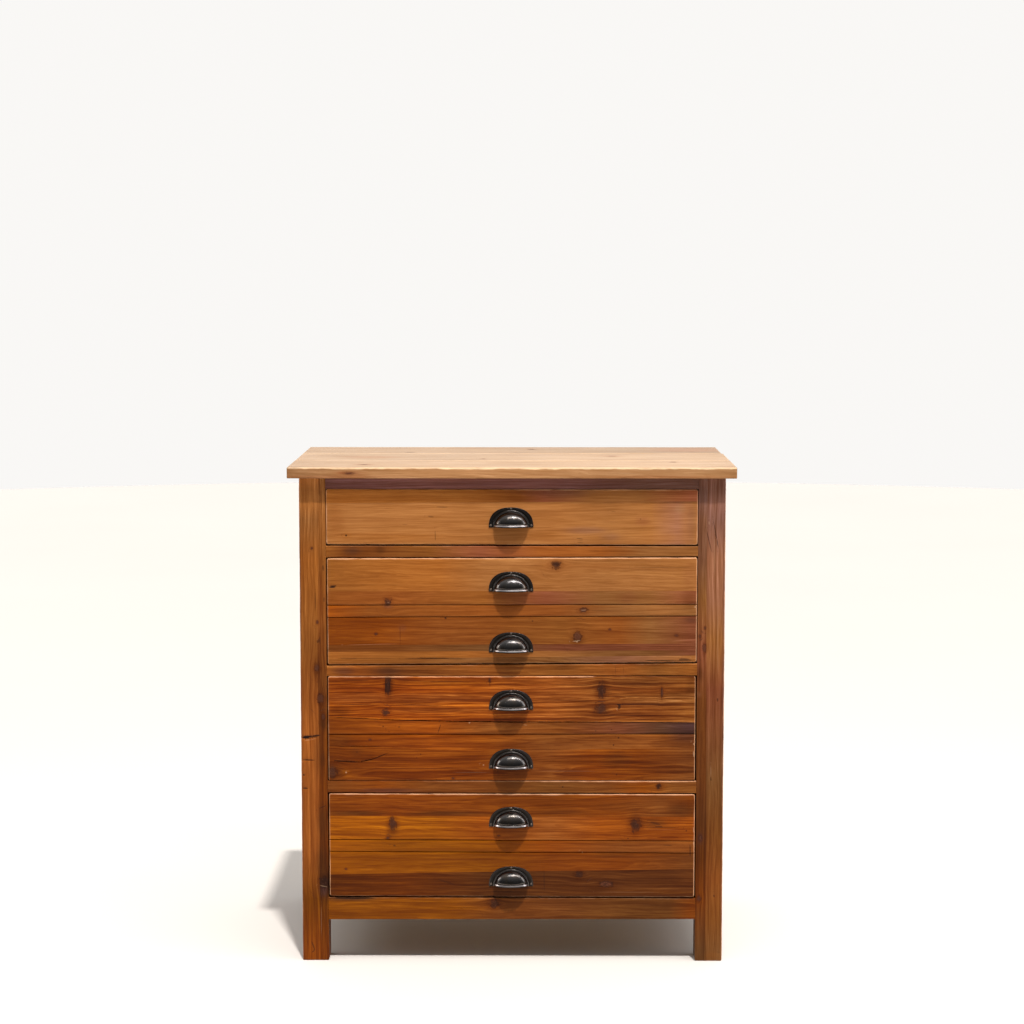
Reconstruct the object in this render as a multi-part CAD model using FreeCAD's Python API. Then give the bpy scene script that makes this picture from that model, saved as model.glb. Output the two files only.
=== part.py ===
import FreeCAD, Part
import math
import os
from FreeCAD import Vector

# Chest of drawers in reclaimed softwood: four square posts that run down as
# legs, five front rails, framed sides and back, a plank top and four inset
# drawers on wooden runners.  The three deep drawers carry two scored lines
# and two cup pulls each, so the front reads as seven drawers.
# Frame: +X to the right, +Y from front to back, +Z up, origin on the floor
# under the middle of the top.  Millimetres.

# ---------------------------------------------------------------- sizes
HEIGHT = 1015.0            # floor to top surface
TOP_W = 900.0              # top board, side to side
TOP_D = 530.0              # top board, front to back
TOP_T = 22.0               # top board thickness
OVERHANG = 22.0            # top past the case at front and sides
CASE_W = TOP_W - 2 * OVERHANG      # 856 over the posts
CASE_F = -TOP_D / 2 + OVERHANG     # front plane of the case
CASE_B = 257.0             # rear plane of the case
POST = 53.0                # square posts
EASE = 1.6                 # hand-eased arris on the boards that show

DRAWER_HALF_W = 372.5      # half the width of a drawer front
FRONT_T = 22.0             # drawer front thickness
SIDE_T = 12.0              # drawer side and back thickness
LAP_T = 8.0                # wood left in front of the side's rebate
BOTTOM_T = 6.0             # drawer bottom panel
BOTTOM_UP = 8.0            # drawer bottom above the lower edge of the sides
BOX_END = 215.0            # rear end of the drawer sides
BLADE_D = 45.0             # depth of the flat rails between drawers
BOTTOM_RAIL_D = 40.0       # depth of the rail under the last drawer
TENON = 20.0               # length of the rail tenons
RUN_GAP = 0.4              # drawer side above its runner
GUIDE_GAP = 2.0            # drawer side beside its guide
STOP_GAP = 0.3             # drawer front in front of its stops
SCORE_W = 2.8              # scored line, width
SCORE_D = 3.2              # scored line, depth

# heights at the left and right posts: the chest is hand fitted, so each
# line runs a little out of level
FRIEZE_LOW = (970.6, 970.9)
RAIL1 = ((854.9, 854.3), (831.2, 834.2))     # top edge, lower edge
RAIL2 = ((610.5, 615.8), (589.5, 591.8))
RAIL3 = ((373.2, 373.6), (349.9, 349.2))
RAIL4 = ((131.5, 130.0), (85.8, 87.2))
# per drawer: top edge, lower edge, scored lines (centres)
DRAWERS = {
    1: ((968.4, 968.2), (858.1, 857.4), []),
    2: ((828.6, 830.7), (613.4, 618.8), [(733.6, 736.2), (709.2, 712.8)]),
    3: ((587.2, 589.3), (376.0, 376.4), [(500.4, 496.6), (469.4, 471.4)]),
    4: ((347.2, 346.6), (134.6, 133.5), [(252.0, 249.9), (227.5, 224.9)]),
}
# cup pulls: drawer, height of the flange's lower edge
PULLS = {1: (1, 892.4), 2: (2, 762.4), 3: (2, 638.8), 4: (3, 521.0),
         5: (3, 400.0), 6: (4, 279.8), 7: (4, 156.2)}
PULL_X = -1.6              # the pulls sit a touch left of centre
FLANGE_A = 45.0            # flange half width
FLANGE_H = 40.5            # flange height
FLANGE_T = 1.4
CUP_R = 34.0               # radius of the cup's round outline
CUP_P = 21.0               # cup projection from the drawer front
CUP_WALL = 1.6
LIP = 0.9                  # bead along the cup's lower edge
PIN_R = 0.9                # round-head pin shank
PIN_HEAD_R = 2.3

X_IN = CASE_W / 2 - POST   # inner face of the posts
Z_UNDER = HEIGHT - TOP_T   # underside of the top


# ---------------------------------------------------------------- helpers
def box(x0, x1, y0, y1, z0, z1):
    return Part.makeBox(x1 - x0, y1 - y0, z1 - z0, Vector(x0, y0, z0))


def line_z(pair, x):
    """Height of a nearly level line that is given at the two posts."""
    t = (x + X_IN) / (2 * X_IN)
    return pair[0] + (pair[1] - pair[0]) * t


def slab(x0, x1, low, high, y0, y1):
    """A board with sloping lower and upper edges, between two depths."""
    pts = [Vector(x0, y0, line_z(low, x0)), Vector(x1, y0, line_z(low, x1)),
           Vector(x1, y0, line_z(high, x1)), Vector(x0, y0, line_z(high, x0))]
    wire = Part.makePolygon(pts + [pts[0]])
    return Part.Face(wire).extrude(Vector(0, y1 - y0, 0))


def shift(pair, dz):
    return (pair[0] + dz, pair[1] + dz)


def ease(shape, test, r=EASE):
    """Take the arris off the edges that the test picks."""
    edges = [e for e in shape.Edges if test(e)]
    if not edges:
        return shape
    return shape.makeChamfer(r, edges)


def at_plane(e, axis, value, tol=0.02):
    return all(abs(getattr(v.Point, axis) - value) < tol for v in e.Vertexes)


def mirror_x(shape):
    return shape.mirror(Vector(0, 0, 0), Vector(1, 0, 0))


def oval_arc(cx, y0, z0, r, depth):
    """Quarter oval in the level z0, from the rim on the right to the tip."""
    curve = Part.Ellipse(Vector(cx + r, y0, z0), Vector(cx, y0 - depth, z0),
                         Vector(cx, y0, z0))
    return curve.toShape(0, math.pi / 2)


def half_dome(cx, y0, z0, r, depth, wall):
    """Half of a hollow flattened dome on the plane y0, above the level z0."""
    outer = oval_arc(cx, y0, z0, r, depth)
    inner = oval_arc(cx, y0, z0, r - wall, depth - wall)
    wire = Part.Wire([outer,
                      Part.makeLine(Vector(cx, y0 - depth, z0), Vector(cx, y0 - depth + wall, z0)),
                      inner,
                      Part.makeLine(Vector(cx + r - wall, y0, z0), Vector(cx + r, y0, z0))])
    return Part.Face(wire).revolve(Vector(cx, y0, z0), Vector(0, -1, 0), 180)


def lip_band(cx, y0, z0, r, depth, wall, height):
    """Bead along the mouth: an oval band on the level z0."""
    full = Part.Ellipse(Vector(cx + r, y0, z0), Vector(cx, y0 - depth, z0), Vector(cx, y0, z0))
    hole = Part.Ellipse(Vector(cx + r - wall, y0, z0), Vector(cx, y0 - depth + wall, z0),
                        Vector(cx, y0, z0))
    wire = Part.Wire([full.toShape(0, math.pi),
                      Part.makeLine(Vector(cx - r, y0, z0), Vector(cx - r + wall, y0, z0)),
                      hole.toShape(0, math.pi),
                      Part.makeLine(Vector(cx + r - wall, y0, z0), Vector(cx + r, y0, z0))])
    return Part.Face(wire).extrude(Vector(0, 0, height))


def arch_plate(cx, z0, a, h, y0, y1):
    """Plate with a flat lower edge at z0 and a flattened arch: short upright
    sides, round shoulders and a broad crown, all tangent."""
    r, zs = 0.5 * h, 0.3 * h
    big = ((a - r) ** 2 + (h - zs) ** 2 - r ** 2) / (2 * (h - zs - r))
    k = big / (big - r)
    tx, tz = (a - r) * k, (h - big) + (zs - h + big) * k
    sx, sz = a - r + r * math.cos(0.5 * math.atan2(tz - zs, tx - a + r)), zs + r * math.sin(0.5 * math.atan2(tz - zs, tx - a + r))

    def at(x, z):
        return Vector(cx + x, y0, z0 + z)

    edges = [Part.makeLine(at(-a, 0), at(a, 0)), Part.makeLine(at(a, 0), at(a, zs)),
             Part.Arc(at(a, zs), at(sx, sz), at(tx, tz)).toShape(),
             Part.Arc(at(tx, tz), at(0, h), at(-tx, tz)).toShape(),
             Part.Arc(at(-tx, tz), at(-sx, sz), at(-a, zs)).toShape(),
             Part.makeLine(at(-a, zs), at(-a, 0))]
    return Part.Face(Part.Wire(edges)).extrude(Vector(0, y1 - y0, 0))


def half_oval(cx, z0, a, h, y0, y1):
    """Half-moon plate: flat lower edge at z0, arched top."""
    curve = Part.Ellipse(Vector(cx + a, y0, z0), Vector(cx, y0, z0 + h), Vector(cx, y0, z0))
    arc = curve.toShape(0, math.pi)
    a_end, b_end = arc.Vertexes[0].Point, arc.Vertexes[-1].Point
    wire = Part.Wire([arc, Part.makeLine(b_end, a_end)])
    return Part.Face(wire).extrude(Vector(0, y1 - y0, 0))


parts = {}

# ---------------------------------------------------------------- posts
post_box = {}
for side, sx in (("left", -1), ("right", 1)):
    for end, y0 in (("front", CASE_F), ("rear", CASE_B - POST)):
        p = box(X_IN, X_IN + POST, y0, y0 + POST, 0, Z_UNDER)
        p = ease(p, lambda e: abs(e.tangentAt(e.FirstParameter).z) > 0.9)
        p = ease(p, lambda e: at_plane(e, "z", 0.0), 1.2)
        if sx < 0:
            p = mirror_x(p)
        post_box[end + "_" + side] = p
posts = dict(post_box)

# ---------------------------------------------------------------- front rails
# the frieze rail and the blades lie flat; the bottom rail stands on edge
rail_spec = {
    "frieze_rail": ((Z_UNDER, Z_UNDER), FRIEZE_LOW, BLADE_D),
    "front_rail_upper": (RAIL1[0], RAIL1[1], BLADE_D),
    "front_rail_middle": (RAIL2[0], RAIL2[1], BLADE_D),
    "front_rail_lower": (RAIL3[0], RAIL3[1], BLADE_D),
    "bottom_rail": (RAIL4[0], RAIL4[1], BOTTOM_RAIL_D),
}
rails = {}
for name, (top, low, depth) in rail_spec.items():
    r = slab(-X_IN, X_IN, low, top, CASE_F, CASE_F + depth)
    r = ease(r, lambda e: at_plane(e, "y", CASE_F)
             and abs(e.tangentAt(e.FirstParameter).x) > 0.9
             and not at_plane(e, "z", Z_UNDER), 1.0)
    for sx, k in ((-1, 0), (1, 1)):
        zt, zl = top[k] - 5.0, low[k] + 5.0
        t = box(X_IN, X_IN + TENON, CASE_F + 8, CASE_F + depth - 8, zl, zt)
        if sx < 0:
            t = mirror_x(t)
        r = r.fuse(t)
        key = "front_left" if sx < 0 else "front_right"
        posts[key] = posts[key].cut(t)
    rails[name] = r.removeSplitter()

# ---------------------------------------------------------------- side frames
SIDE_OUT = CASE_W / 2 - 4.0        # outer face of the side rails
SIDE_RAIL_T = 22.0
PANEL_T = 9.0
PANEL_OUT = SIDE_OUT - 7.0
GROOVE = 8.0                       # panel tongue in rails and posts
Y_A, Y_B = CASE_F + POST, CASE_B - POST     # between the posts
SIDE_TOP = (945.0, Z_UNDER)
SIDE_LOW = (87.0, 140.0)
for side, sx in (("left", -1), ("right", 1)):
    panel = box(PANEL_OUT - PANEL_T, PANEL_OUT, Y_A - GROOVE + 1, Y_B + GROOVE - 1,
                SIDE_LOW[1] - GROOVE + 1, SIDE_TOP[0] + GROOVE - 1)
    groove = box(PANEL_OUT - PANEL_T, PANEL_OUT, Y_A - GROOVE, Y_B + GROOVE,
                 SIDE_LOW[1] - GROOVE, SIDE_TOP[0] + GROOVE)
    if sx < 0:
        panel, groove = mirror_x(panel), mirror_x(groove)
    parts["side_panel_" + side] = panel
    for what, (z0, z1) in (("top", SIDE_TOP), ("lower", SIDE_LOW)):
        r = box(SIDE_OUT - SIDE_RAIL_T, SIDE_OUT, Y_A, Y_B, z0, z1)
        zz0, zz1 = (z0 + 10, z1 - 8) if what == "top" else (z0 + 8, z1 - 10)
        t = box(PANEL_OUT - PANEL_T, PANEL_OUT, Y_A - TENON, Y_B + TENON, zz0, zz1)
        if sx < 0:
            r, t = mirror_x(r), mirror_x(t)
        inner = (z0 if what == "top" else z1)
        r = ease(r, lambda e: at_plane(e, "z", inner)
                 and at_plane(e, "x", sx * SIDE_OUT), 1.2)
        r = r.fuse(t).cut(groove).removeSplitter()
        parts["side_rail_%s_%s" % (what, side)] = r
        for end in ("front_", "rear_"):
            posts[end + side] = posts[end + side].cut(t)
    for end in ("front_", "rear_"):
        posts[end + side] = posts[end + side].cut(groove)

# ---------------------------------------------------------------- back frame
BACK_OUT = CASE_B - 4.0
BACK_RAIL_T = 20.0
BACK_T = 6.0
BACK_OUT_P = BACK_OUT - 7.0
BACK_TOP = (945.0, Z_UNDER)
BACK_LOW = (87.0, 140.0)
panel = box(-X_IN - GROOVE + 1, X_IN + GROOVE - 1, BACK_OUT_P - BACK_T, BACK_OUT_P,
            BACK_LOW[1] - GROOVE + 1, BACK_TOP[0] + GROOVE - 1)
groove = box(-X_IN - GROOVE, X_IN + GROOVE, BACK_OUT_P - BACK_T, BACK_OUT_P,
             BACK_LOW[1] - GROOVE, BACK_TOP[0] + GROOVE)
parts["back_panel"] = panel
for what, (z0, z1) in (("top", BACK_TOP), ("lower", BACK_LOW)):
    r = box(-X_IN, X_IN, BACK_OUT - BACK_RAIL_T, BACK_OUT, z0, z1)
    zz0, zz1 = (z0 + 10, z1 - 8) if what == "top" else (z0 + 8, z1 - 10)
    t = box(-X_IN - TENON + 2, X_IN + TENON - 2, BACK_OUT_P - BACK_T, BACK_OUT_P, zz0, zz1)
    r = r.fuse(t).cut(groove).removeSplitter()
    parts["back_rail_" + what] = r
    for side in ("left", "right"):
        posts["rear_" + side] = posts["rear_" + side].cut(t)
for side in ("left", "right"):
    posts["rear_" + side] = posts["rear_" + side].cut(groove)

# ---------------------------------------------------------------- drawers
box_z0, box_z1 = {}, {}
for n, (top, low, scores) in DRAWERS.items():
    zb = max(low) + 0.5                 # lower edge of the level drawer box
    zt = min(top) - 3.0                 # upper edge of the drawer sides
    box_z0[n], box_z1[n] = zb, zt
    yb = CASE_F + FRONT_T
    w = DRAWER_HALF_W
    xs = w - 0.5                        # outer face of the sides
    front = slab(-w, w, low, top, CASE_F, yb)
    front = ease(front, lambda e: at_plane(e, "y", CASE_F), EASE)
    for pair in scores:
        front = front.cut(slab(-w - 1, w + 1, shift(pair, -SCORE_W / 2),
                               shift(pair, SCORE_W / 2), CASE_F - 1, CASE_F + SCORE_D))
    bottom = box(-xs + SIDE_T - 5.5, xs - SIDE_T + 5.5, yb - 5.5, BOX_END - 1,
                 zb + BOTTOM_UP, zb + BOTTOM_UP + BOTTOM_T)
    slot = box(-xs + SIDE_T - 6.0, xs - SIDE_T + 6.0, yb - 6.0, BOX_END + 1,
               zb + BOTTOM_UP, zb + BOTTOM_UP + BOTTOM_T)
    back = box(-xs + SIDE_T - 4, xs - SIDE_T + 4, BOX_END - 20, BOX_END - 20 + SIDE_T,
               zb + BOTTOM_UP + BOTTOM_T, zt - 6)
    for side, sx in (("left", -1), ("right", 1)):
        s = box(xs - SIDE_T, xs, CASE_F + LAP_T, BOX_END, zb, zt)
        s = ease(s, lambda e: at_plane(e, "z", zt)
                 and abs(e.tangentAt(e.FirstParameter).y) > 0.9, 1.0)
        rebate = box(xs - SIDE_T, w + 1, CASE_F + LAP_T, yb + 1, 0, 2000)
        if sx < 0:
            s, rebate = mirror_x(s), mirror_x(rebate)
        front = front.cut(rebate)
        parts["drawer_%d_side_%s" % (n, side)] = s.cut(slot).cut(back)
    front = front.cut(slot)
    parts["drawer_%d_front" % n] = front
    parts["drawer_%d_bottom" % n] = bottom
    parts["drawer_%d_back" % n] = back

# ---------------------------------------------------------------- runners
# each runner is a ledge under the drawer side with a guide beside it
GUIDE_X = DRAWER_HALF_W - 0.5 + GUIDE_GAP
RUN_IN = 350.0
RUN_OUT = SIDE_OUT - SIDE_RAIL_T - 0.0
GUIDE_UP = 22.0
STUB = 8.0
blade_of = {1: "front_rail_upper", 2: "front_rail_middle",
            3: "front_rail_lower", 4: "bottom_rail"}
blade_lines = {1: RAIL1, 2: RAIL2, 3: RAIL3, 4: RAIL4}
blade_depth = {1: BLADE_D, 2: BLADE_D, 3: BLADE_D, 4: BOTTOM_RAIL_D}
for n in DRAWERS:
    zr = box_z0[n] - RUN_GAP
    th = zr - max(blade_lines[n][1]) if n < 4 else 25.0
    zl = zr - th
    yf = CASE_F + blade_depth[n]
    pair = []
    for sx in (-1, 1):
        r = box(RUN_IN, RUN_OUT, Y_A, Y_B, zl, zr)
        r = r.fuse(box(GUIDE_X, RUN_OUT, Y_A, Y_B, zr, zr + GUIDE_UP))
        if yf < Y_A:
            r = r.fuse(box(RUN_IN, X_IN, yf, Y_A, zl, zr))
        r = r.fuse(box(RUN_IN, X_IN, Y_B, BACK_OUT - BACK_RAIL_T, zl, zr))
        stub = box(RUN_IN + 4, X_IN - 3, yf - STUB, yf, zl + 7, zr - 9)
        r = r.fuse(stub).removeSplitter()
        if sx < 0:
            r, stub = mirror_x(r), mirror_x(stub)
        rails[blade_of[n]] = rails[blade_of[n]].cut(stub)
        pair.append(r)
    parts["runners_drawer_%d" % n] = Part.makeCompound(pair)

# strips under the top that keep the first drawer from tipping
kick = box(RUN_IN, RUN_OUT, Y_A, Y_B, max(FRIEZE_LOW), Z_UNDER)
kickers = [mirror_x(kick), kick]

# stops on the blades behind each drawer front
stops = []
for n in DRAWERS:
    y0 = CASE_F + FRONT_T + STOP_GAP
    y1 = CASE_F + blade_depth[n]
    for xa in (-236.0, 204.0):
        stops.append(slab(xa, xa + 32, blade_lines[n][0],
                          shift(blade_lines[n][0], 6.4), y0, min(y1, y0 + 18)))
parts["drawer_stops"] = Part.makeCompound(stops)

# ---------------------------------------------------------------- top planks
JOINT_A, JOINT_B = -88.0, 88.0
planks = {
    "top_plank_front": (-TOP_W / 2, TOP_W / 2, -TOP_D / 2, JOINT_A),
    "top_plank_middle": (-TOP_W / 2 + 0.6, TOP_W / 2 - 0.5, JOINT_A, JOINT_B),
    "top_plank_rear": (-TOP_W / 2 + 0.4, TOP_W / 2 - 3.6, JOINT_B, TOP_D / 2),
}
for name, (x0, x1, y0, y1) in planks.items():
    p = box(x0, x1, y0, y1, Z_UNDER, HEIGHT)
    outer = []
    for e in p.Edges:
        free_x = at_plane(e, "x", x0) or at_plane(e, "x", x1)
        free_y = (at_plane(e, "y", -TOP_D / 2) or at_plane(e, "y", TOP_D / 2))
        along_y = abs(e.tangentAt(e.FirstParameter).y) > 0.9
        along_x = abs(e.tangentAt(e.FirstParameter).x) > 0.9
        if (free_x and along_y) or (free_y and along_x) or (free_x and free_y):
            outer.append(e)
    planks[name] = p.makeChamfer(EASE, outer)

# screws that hold the top: through the strips and the frieze rail
screws = []
spots = [(sx * 376.0, y) for sx in (-1, 1) for y in (-150.0, 6.0, 160.0)]
spots += [(x, CASE_F + 22.0) for x in (-250.0, 0.0, 250.0)]
for (x, y) in spots:
    z_low = max(FRIEZE_LOW)
    if abs(x) < 300:
        z_low = line_z(FRIEZE_LOW, x)
    head = Part.makeCone(4.2, 2.0, 3.0, Vector(x, y, z_low + 1.0), Vector(0, 0, 1))
    shank = Part.makeCylinder(2.0, HEIGHT - 8.0 - (z_low + 4.0),
                              Vector(x, y, z_low + 4.0), Vector(0, 0, 1))
    well = Part.makeCylinder(4.2, 2.0, Vector(x, y, z_low - 1.0), Vector(0, 0, 1))
    s = head.fuse(shank)
    screws.append(s)
    if abs(x) < 300:
        rails["frieze_rail"] = rails["frieze_rail"].cut(s).cut(well)
    else:
        kickers = [k.cut(s).cut(well) for k in kickers]
    for name in planks:
        bb = planks[name].BoundBox
        if bb.YMin < y < bb.YMax:
            planks[name] = planks[name].cut(shank)
parts["top_screws"] = Part.makeCompound(screws)
parts["top_kickers"] = Part.makeCompound(kickers)
parts.update(planks)

# ---------------------------------------------------------------- cup pulls
pins_of = {n: [] for n in DRAWERS}
for k, (n, z0) in PULLS.items():
    yf = CASE_F
    zc = z0 + 1.0                       # plane of the cup's mouth
    flange = arch_plate(PULL_X, z0, FLANGE_A, FLANGE_H, yf - FLANGE_T, yf)
    step = half_oval(PULL_X, z0, CUP_R + 3.0, CUP_R + 2.4, yf - 2.6, yf)
    mouth = box(PULL_X - CUP_R, PULL_X + CUP_R, yf - 40, yf + 1, z0 - 5, zc)
    hollow = Part.makeCylinder(CUP_R - CUP_WALL, 20, Vector(PULL_X, yf - 10, zc),
                               Vector(0, 1, 0))
    plate = flange.fuse(step).cut(mouth).cut(hollow).removeSplitter()
    shell = half_dome(PULL_X, yf, zc, CUP_R, CUP_P, CUP_WALL)
    band = lip_band(PULL_X, yf, zc, CUP_R + LIP, CUP_P + LIP, CUP_WALL + LIP, 2.6)
    solid = plate.fuse([shell, band])
    for (dx, dz) in ((0.0, FLANGE_H - 2.4), (-FLANGE_A + 4.4, 4.6), (FLANGE_A - 4.4, 4.6)):
        x, z = PULL_X + dx, z0 + dz
        head_y = yf - FLANGE_T
        shank = Part.makeCylinder(PIN_R, 14.0 + FLANGE_T, Vector(x, head_y, z), Vector(0, 1, 0))
        dome = Part.makeSphere(2.6, Vector(x, head_y + 1.2, z), Vector(0, 1, 0))
        head = dome.common(box(x - 4, x + 4, head_y - 4, head_y, z - 4, z + 4))
        pin = shank.fuse(head)
        pins_of[n].append(pin)
        solid = solid.cut(pin)
        parts["drawer_%d_front" % n] = parts["drawer_%d_front" % n].cut(shank)
    parts["cup_pull_%d" % k] = solid
for n, pins in pins_of.items():
    parts["pull_pins_drawer_%d" % n] = Part.makeCompound(pins)

for key, p in posts.items():
    parts["post_" + key] = p.removeSplitter()
parts.update(rails)

# ---------------------------------------------------------------- write
os.makedirs("parts", exist_ok=True)
for name in sorted(parts):
    shape = parts[name]
    solids = shape.Solids
    if not solids or not all(s.isValid() for s in solids):
        print("CHECK", name, len(solids))
    if len(solids) == 1:
        shape = solids[0]
    shape.exportStep("parts/%s.step" % name)
    print("%-26s solids %2d  volume %9.0f  box %s" % (
        name, len(solids), shape.Volume,
        ["%.1f" % v for v in (shape.BoundBox.XMin, shape.BoundBox.XMax, shape.BoundBox.YMin,
                              shape.BoundBox.YMax, shape.BoundBox.ZMin, shape.BoundBox.ZMax)]))
print(len(parts), "nodes")
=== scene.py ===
import bpy
import math
import numpy as np
from mathutils import Matrix, Vector


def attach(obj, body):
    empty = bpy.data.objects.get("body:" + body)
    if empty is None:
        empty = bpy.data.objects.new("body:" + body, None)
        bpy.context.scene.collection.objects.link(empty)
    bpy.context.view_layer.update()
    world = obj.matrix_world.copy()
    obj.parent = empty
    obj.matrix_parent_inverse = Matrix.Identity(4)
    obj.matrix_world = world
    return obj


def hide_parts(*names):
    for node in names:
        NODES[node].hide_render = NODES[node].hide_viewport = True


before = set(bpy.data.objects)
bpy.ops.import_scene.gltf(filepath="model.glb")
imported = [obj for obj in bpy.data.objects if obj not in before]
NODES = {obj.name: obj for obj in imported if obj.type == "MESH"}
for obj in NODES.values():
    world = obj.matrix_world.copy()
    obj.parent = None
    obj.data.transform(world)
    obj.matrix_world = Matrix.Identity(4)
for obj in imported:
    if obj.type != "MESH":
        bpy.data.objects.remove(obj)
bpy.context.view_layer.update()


# ---------------------------------------------------------------- camera
# Lengths are millimetres up to the point where a mesh or object is made.
F = -243.0                                   # plane of the front faces
EYE = np.array([33.98, -5067.5, 1429.4])
PITCH, YAW, FOCAL = 0.10443, -0.00698, 2415.33
FWD = np.array([math.sin(YAW) * math.cos(PITCH), math.cos(YAW) * math.cos(PITCH), -math.sin(PITCH)])
RIGHT = np.array([math.cos(YAW), -math.sin(YAW), 0.0])
UP = np.cross(RIGHT, FWD)


def px(u, v, y=F):
    """Where the view ray of image point (u, v) meets the plane y: x and z."""
    u = np.asarray(u, float)
    v = np.asarray(v, float)
    d = FWD + ((u - 512) / FOCAL)[..., None] * RIGHT - ((v - 512) / FOCAL)[..., None] * UP
    t = (y - EYE[1]) / d[..., 1]
    return EYE[0] + t * d[..., 0], EYE[2] + t * d[..., 2]


def pz(u, v, z):
    """Where the view ray of image point (u, v) meets the level plane z: x and y."""
    d = FWD + (u - 512) / FOCAL * RIGHT - (v - 512) / FOCAL * UP
    t = (z - EYE[2]) / d[2]
    return EYE[0] + t * d[0], EYE[1] + t * d[1]


# ---------------------------------------------------------------- seeded noise
def _hash(i, j, k, seed):
    h = (i.astype(np.uint32) * np.uint32(374761393) + j.astype(np.uint32) * np.uint32(668265263)
         + k.astype(np.uint32) * np.uint32(2246822519) + np.uint32((seed * 3266489917) % 4294967296))
    h = h ^ (h >> np.uint32(13))
    h = h * np.uint32(1274126177)
    h = h ^ (h >> np.uint32(16))
    return h.astype(np.float64) / 4294967295.0


def noise(x, y=0.0, z=0.0, seed=1):
    """Smooth value noise, -1 to 1, one feature per unit."""
    x, y, z = np.broadcast_arrays(np.asarray(x, float), np.asarray(y, float), np.asarray(z, float))
    xi, yi, zi = (np.floor(c).astype(np.int64) for c in (x, y, z))
    fx, fy, fz = x - xi, y - yi, z - zi
    fx, fy, fz = (c * c * (3 - 2 * c) for c in (fx, fy, fz))
    out = 0.0
    for dx in (0, 1):
        wx = fx if dx else 1 - fx
        for dy in (0, 1):
            wy = fy if dy else 1 - fy
            for dz in (0, 1):
                wz = fz if dz else 1 - fz
                out = out + wx * wy * wz * _hash(xi + dx, yi + dy, zi + dz, seed)
    return out * 2 - 1


def fbm(x, y=0.0, z=0.0, seed=1, octaves=3):
    out, amp, tot = 0.0, 1.0, 0.0
    for o in range(octaves):
        k = 2.03 ** o
        out = out + amp * noise(np.asarray(x) * k, np.asarray(y) * k, np.asarray(z) * k, seed + 17 * o)
        tot += amp
        amp *= 0.5
    return out / tot


def smooth(x, a, b):
    t = np.clip((np.asarray(x, float) - a) / (b - a), 0, 1)
    return t * t * (3 - 2 * t)


# ---------------------------------------------------------------- meshes
def make_obj(name, V, quads, ngons=(), attrs=None, materials=(), angle=38.0, face_mat=None):
    """A closed mesh from millimetre points, turned outwards if its volume is negative."""
    V = np.asarray(V, float)
    quads = np.asarray(quads, np.int64).reshape(-1, 4)
    p = V[quads]
    vol = np.einsum("ij,ij->i", np.cross(p[:, 1] - p[:, 0], p[:, 2] - p[:, 0]), p[:, 0]).sum()
    vol += np.einsum("ij,ij->i", np.cross(p[:, 2] - p[:, 0], p[:, 3] - p[:, 0]), p[:, 0]).sum()
    for g in ngons:
        q = V[list(g)]
        vol += np.einsum("ij,ij->i", np.cross(q[1:-1] - q[0], q[2:] - q[0]), np.repeat(q[:1], len(q) - 2, 0)).sum()
    ngons = [list(g) for g in ngons]
    if vol < 0:
        quads = quads[:, ::-1]
        ngons = [g[::-1] for g in ngons]
    loops = np.concatenate([quads.ravel()] + [np.asarray(g, np.int64) for g in ngons]).astype(np.int32)
    totals = np.concatenate([np.full(len(quads), 4), np.array([len(g) for g in ngons], np.int64)]).astype(np.int32)
    starts = np.concatenate([[0], np.cumsum(totals)[:-1]]).astype(np.int32)
    me = bpy.data.meshes.new(name)
    me.vertices.add(len(V))
    me.vertices.foreach_set("co", (V * 0.001).astype(np.float32).ravel())
    me.loops.add(len(loops))
    me.loops.foreach_set("vertex_index", loops)
    me.polygons.add(len(totals))
    me.polygons.foreach_set("loop_start", starts)
    me.polygons.foreach_set("use_smooth", np.ones(len(totals), bool))
    me.update(calc_edges=True)
    me.set_sharp_from_angle(angle=math.radians(angle))
    for key, val in (attrs or {}).items():
        val = np.asarray(val, np.float32)
        if val.shape[1] == 4:
            at = me.attributes.new(key, "FLOAT_COLOR", "POINT")
            at.data.foreach_set("color", val.ravel())
        else:
            at = me.attributes.new(key, "FLOAT_VECTOR", "POINT")
            at.data.foreach_set("vector", val.ravel())
    ob = bpy.data.objects.new(name, me)
    bpy.context.scene.collection.objects.link(ob)
    for m in materials:
        me.materials.append(m)
    if face_mat is not None:
        me.polygons.foreach_set("material_index", np.asarray(face_mat, np.int32))
    return ob


def curve(points, s, wave=0.0, seed=1, wl=60.0):
    """A control line a(s) through points (s, a), with a little waviness."""
    p = np.array(sorted(points), float)
    a = np.interp(s, p[:, 0], p[:, 1])
    if len(p) > 1:
        lo = s < p[0, 0]
        hi = s > p[-1, 0]
        a[lo] = p[0, 1]
        a[hi] = p[-1, 1]
    return a + wave * fbm(s / wl, seed * 3.7, seed=seed, octaves=2)


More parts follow.
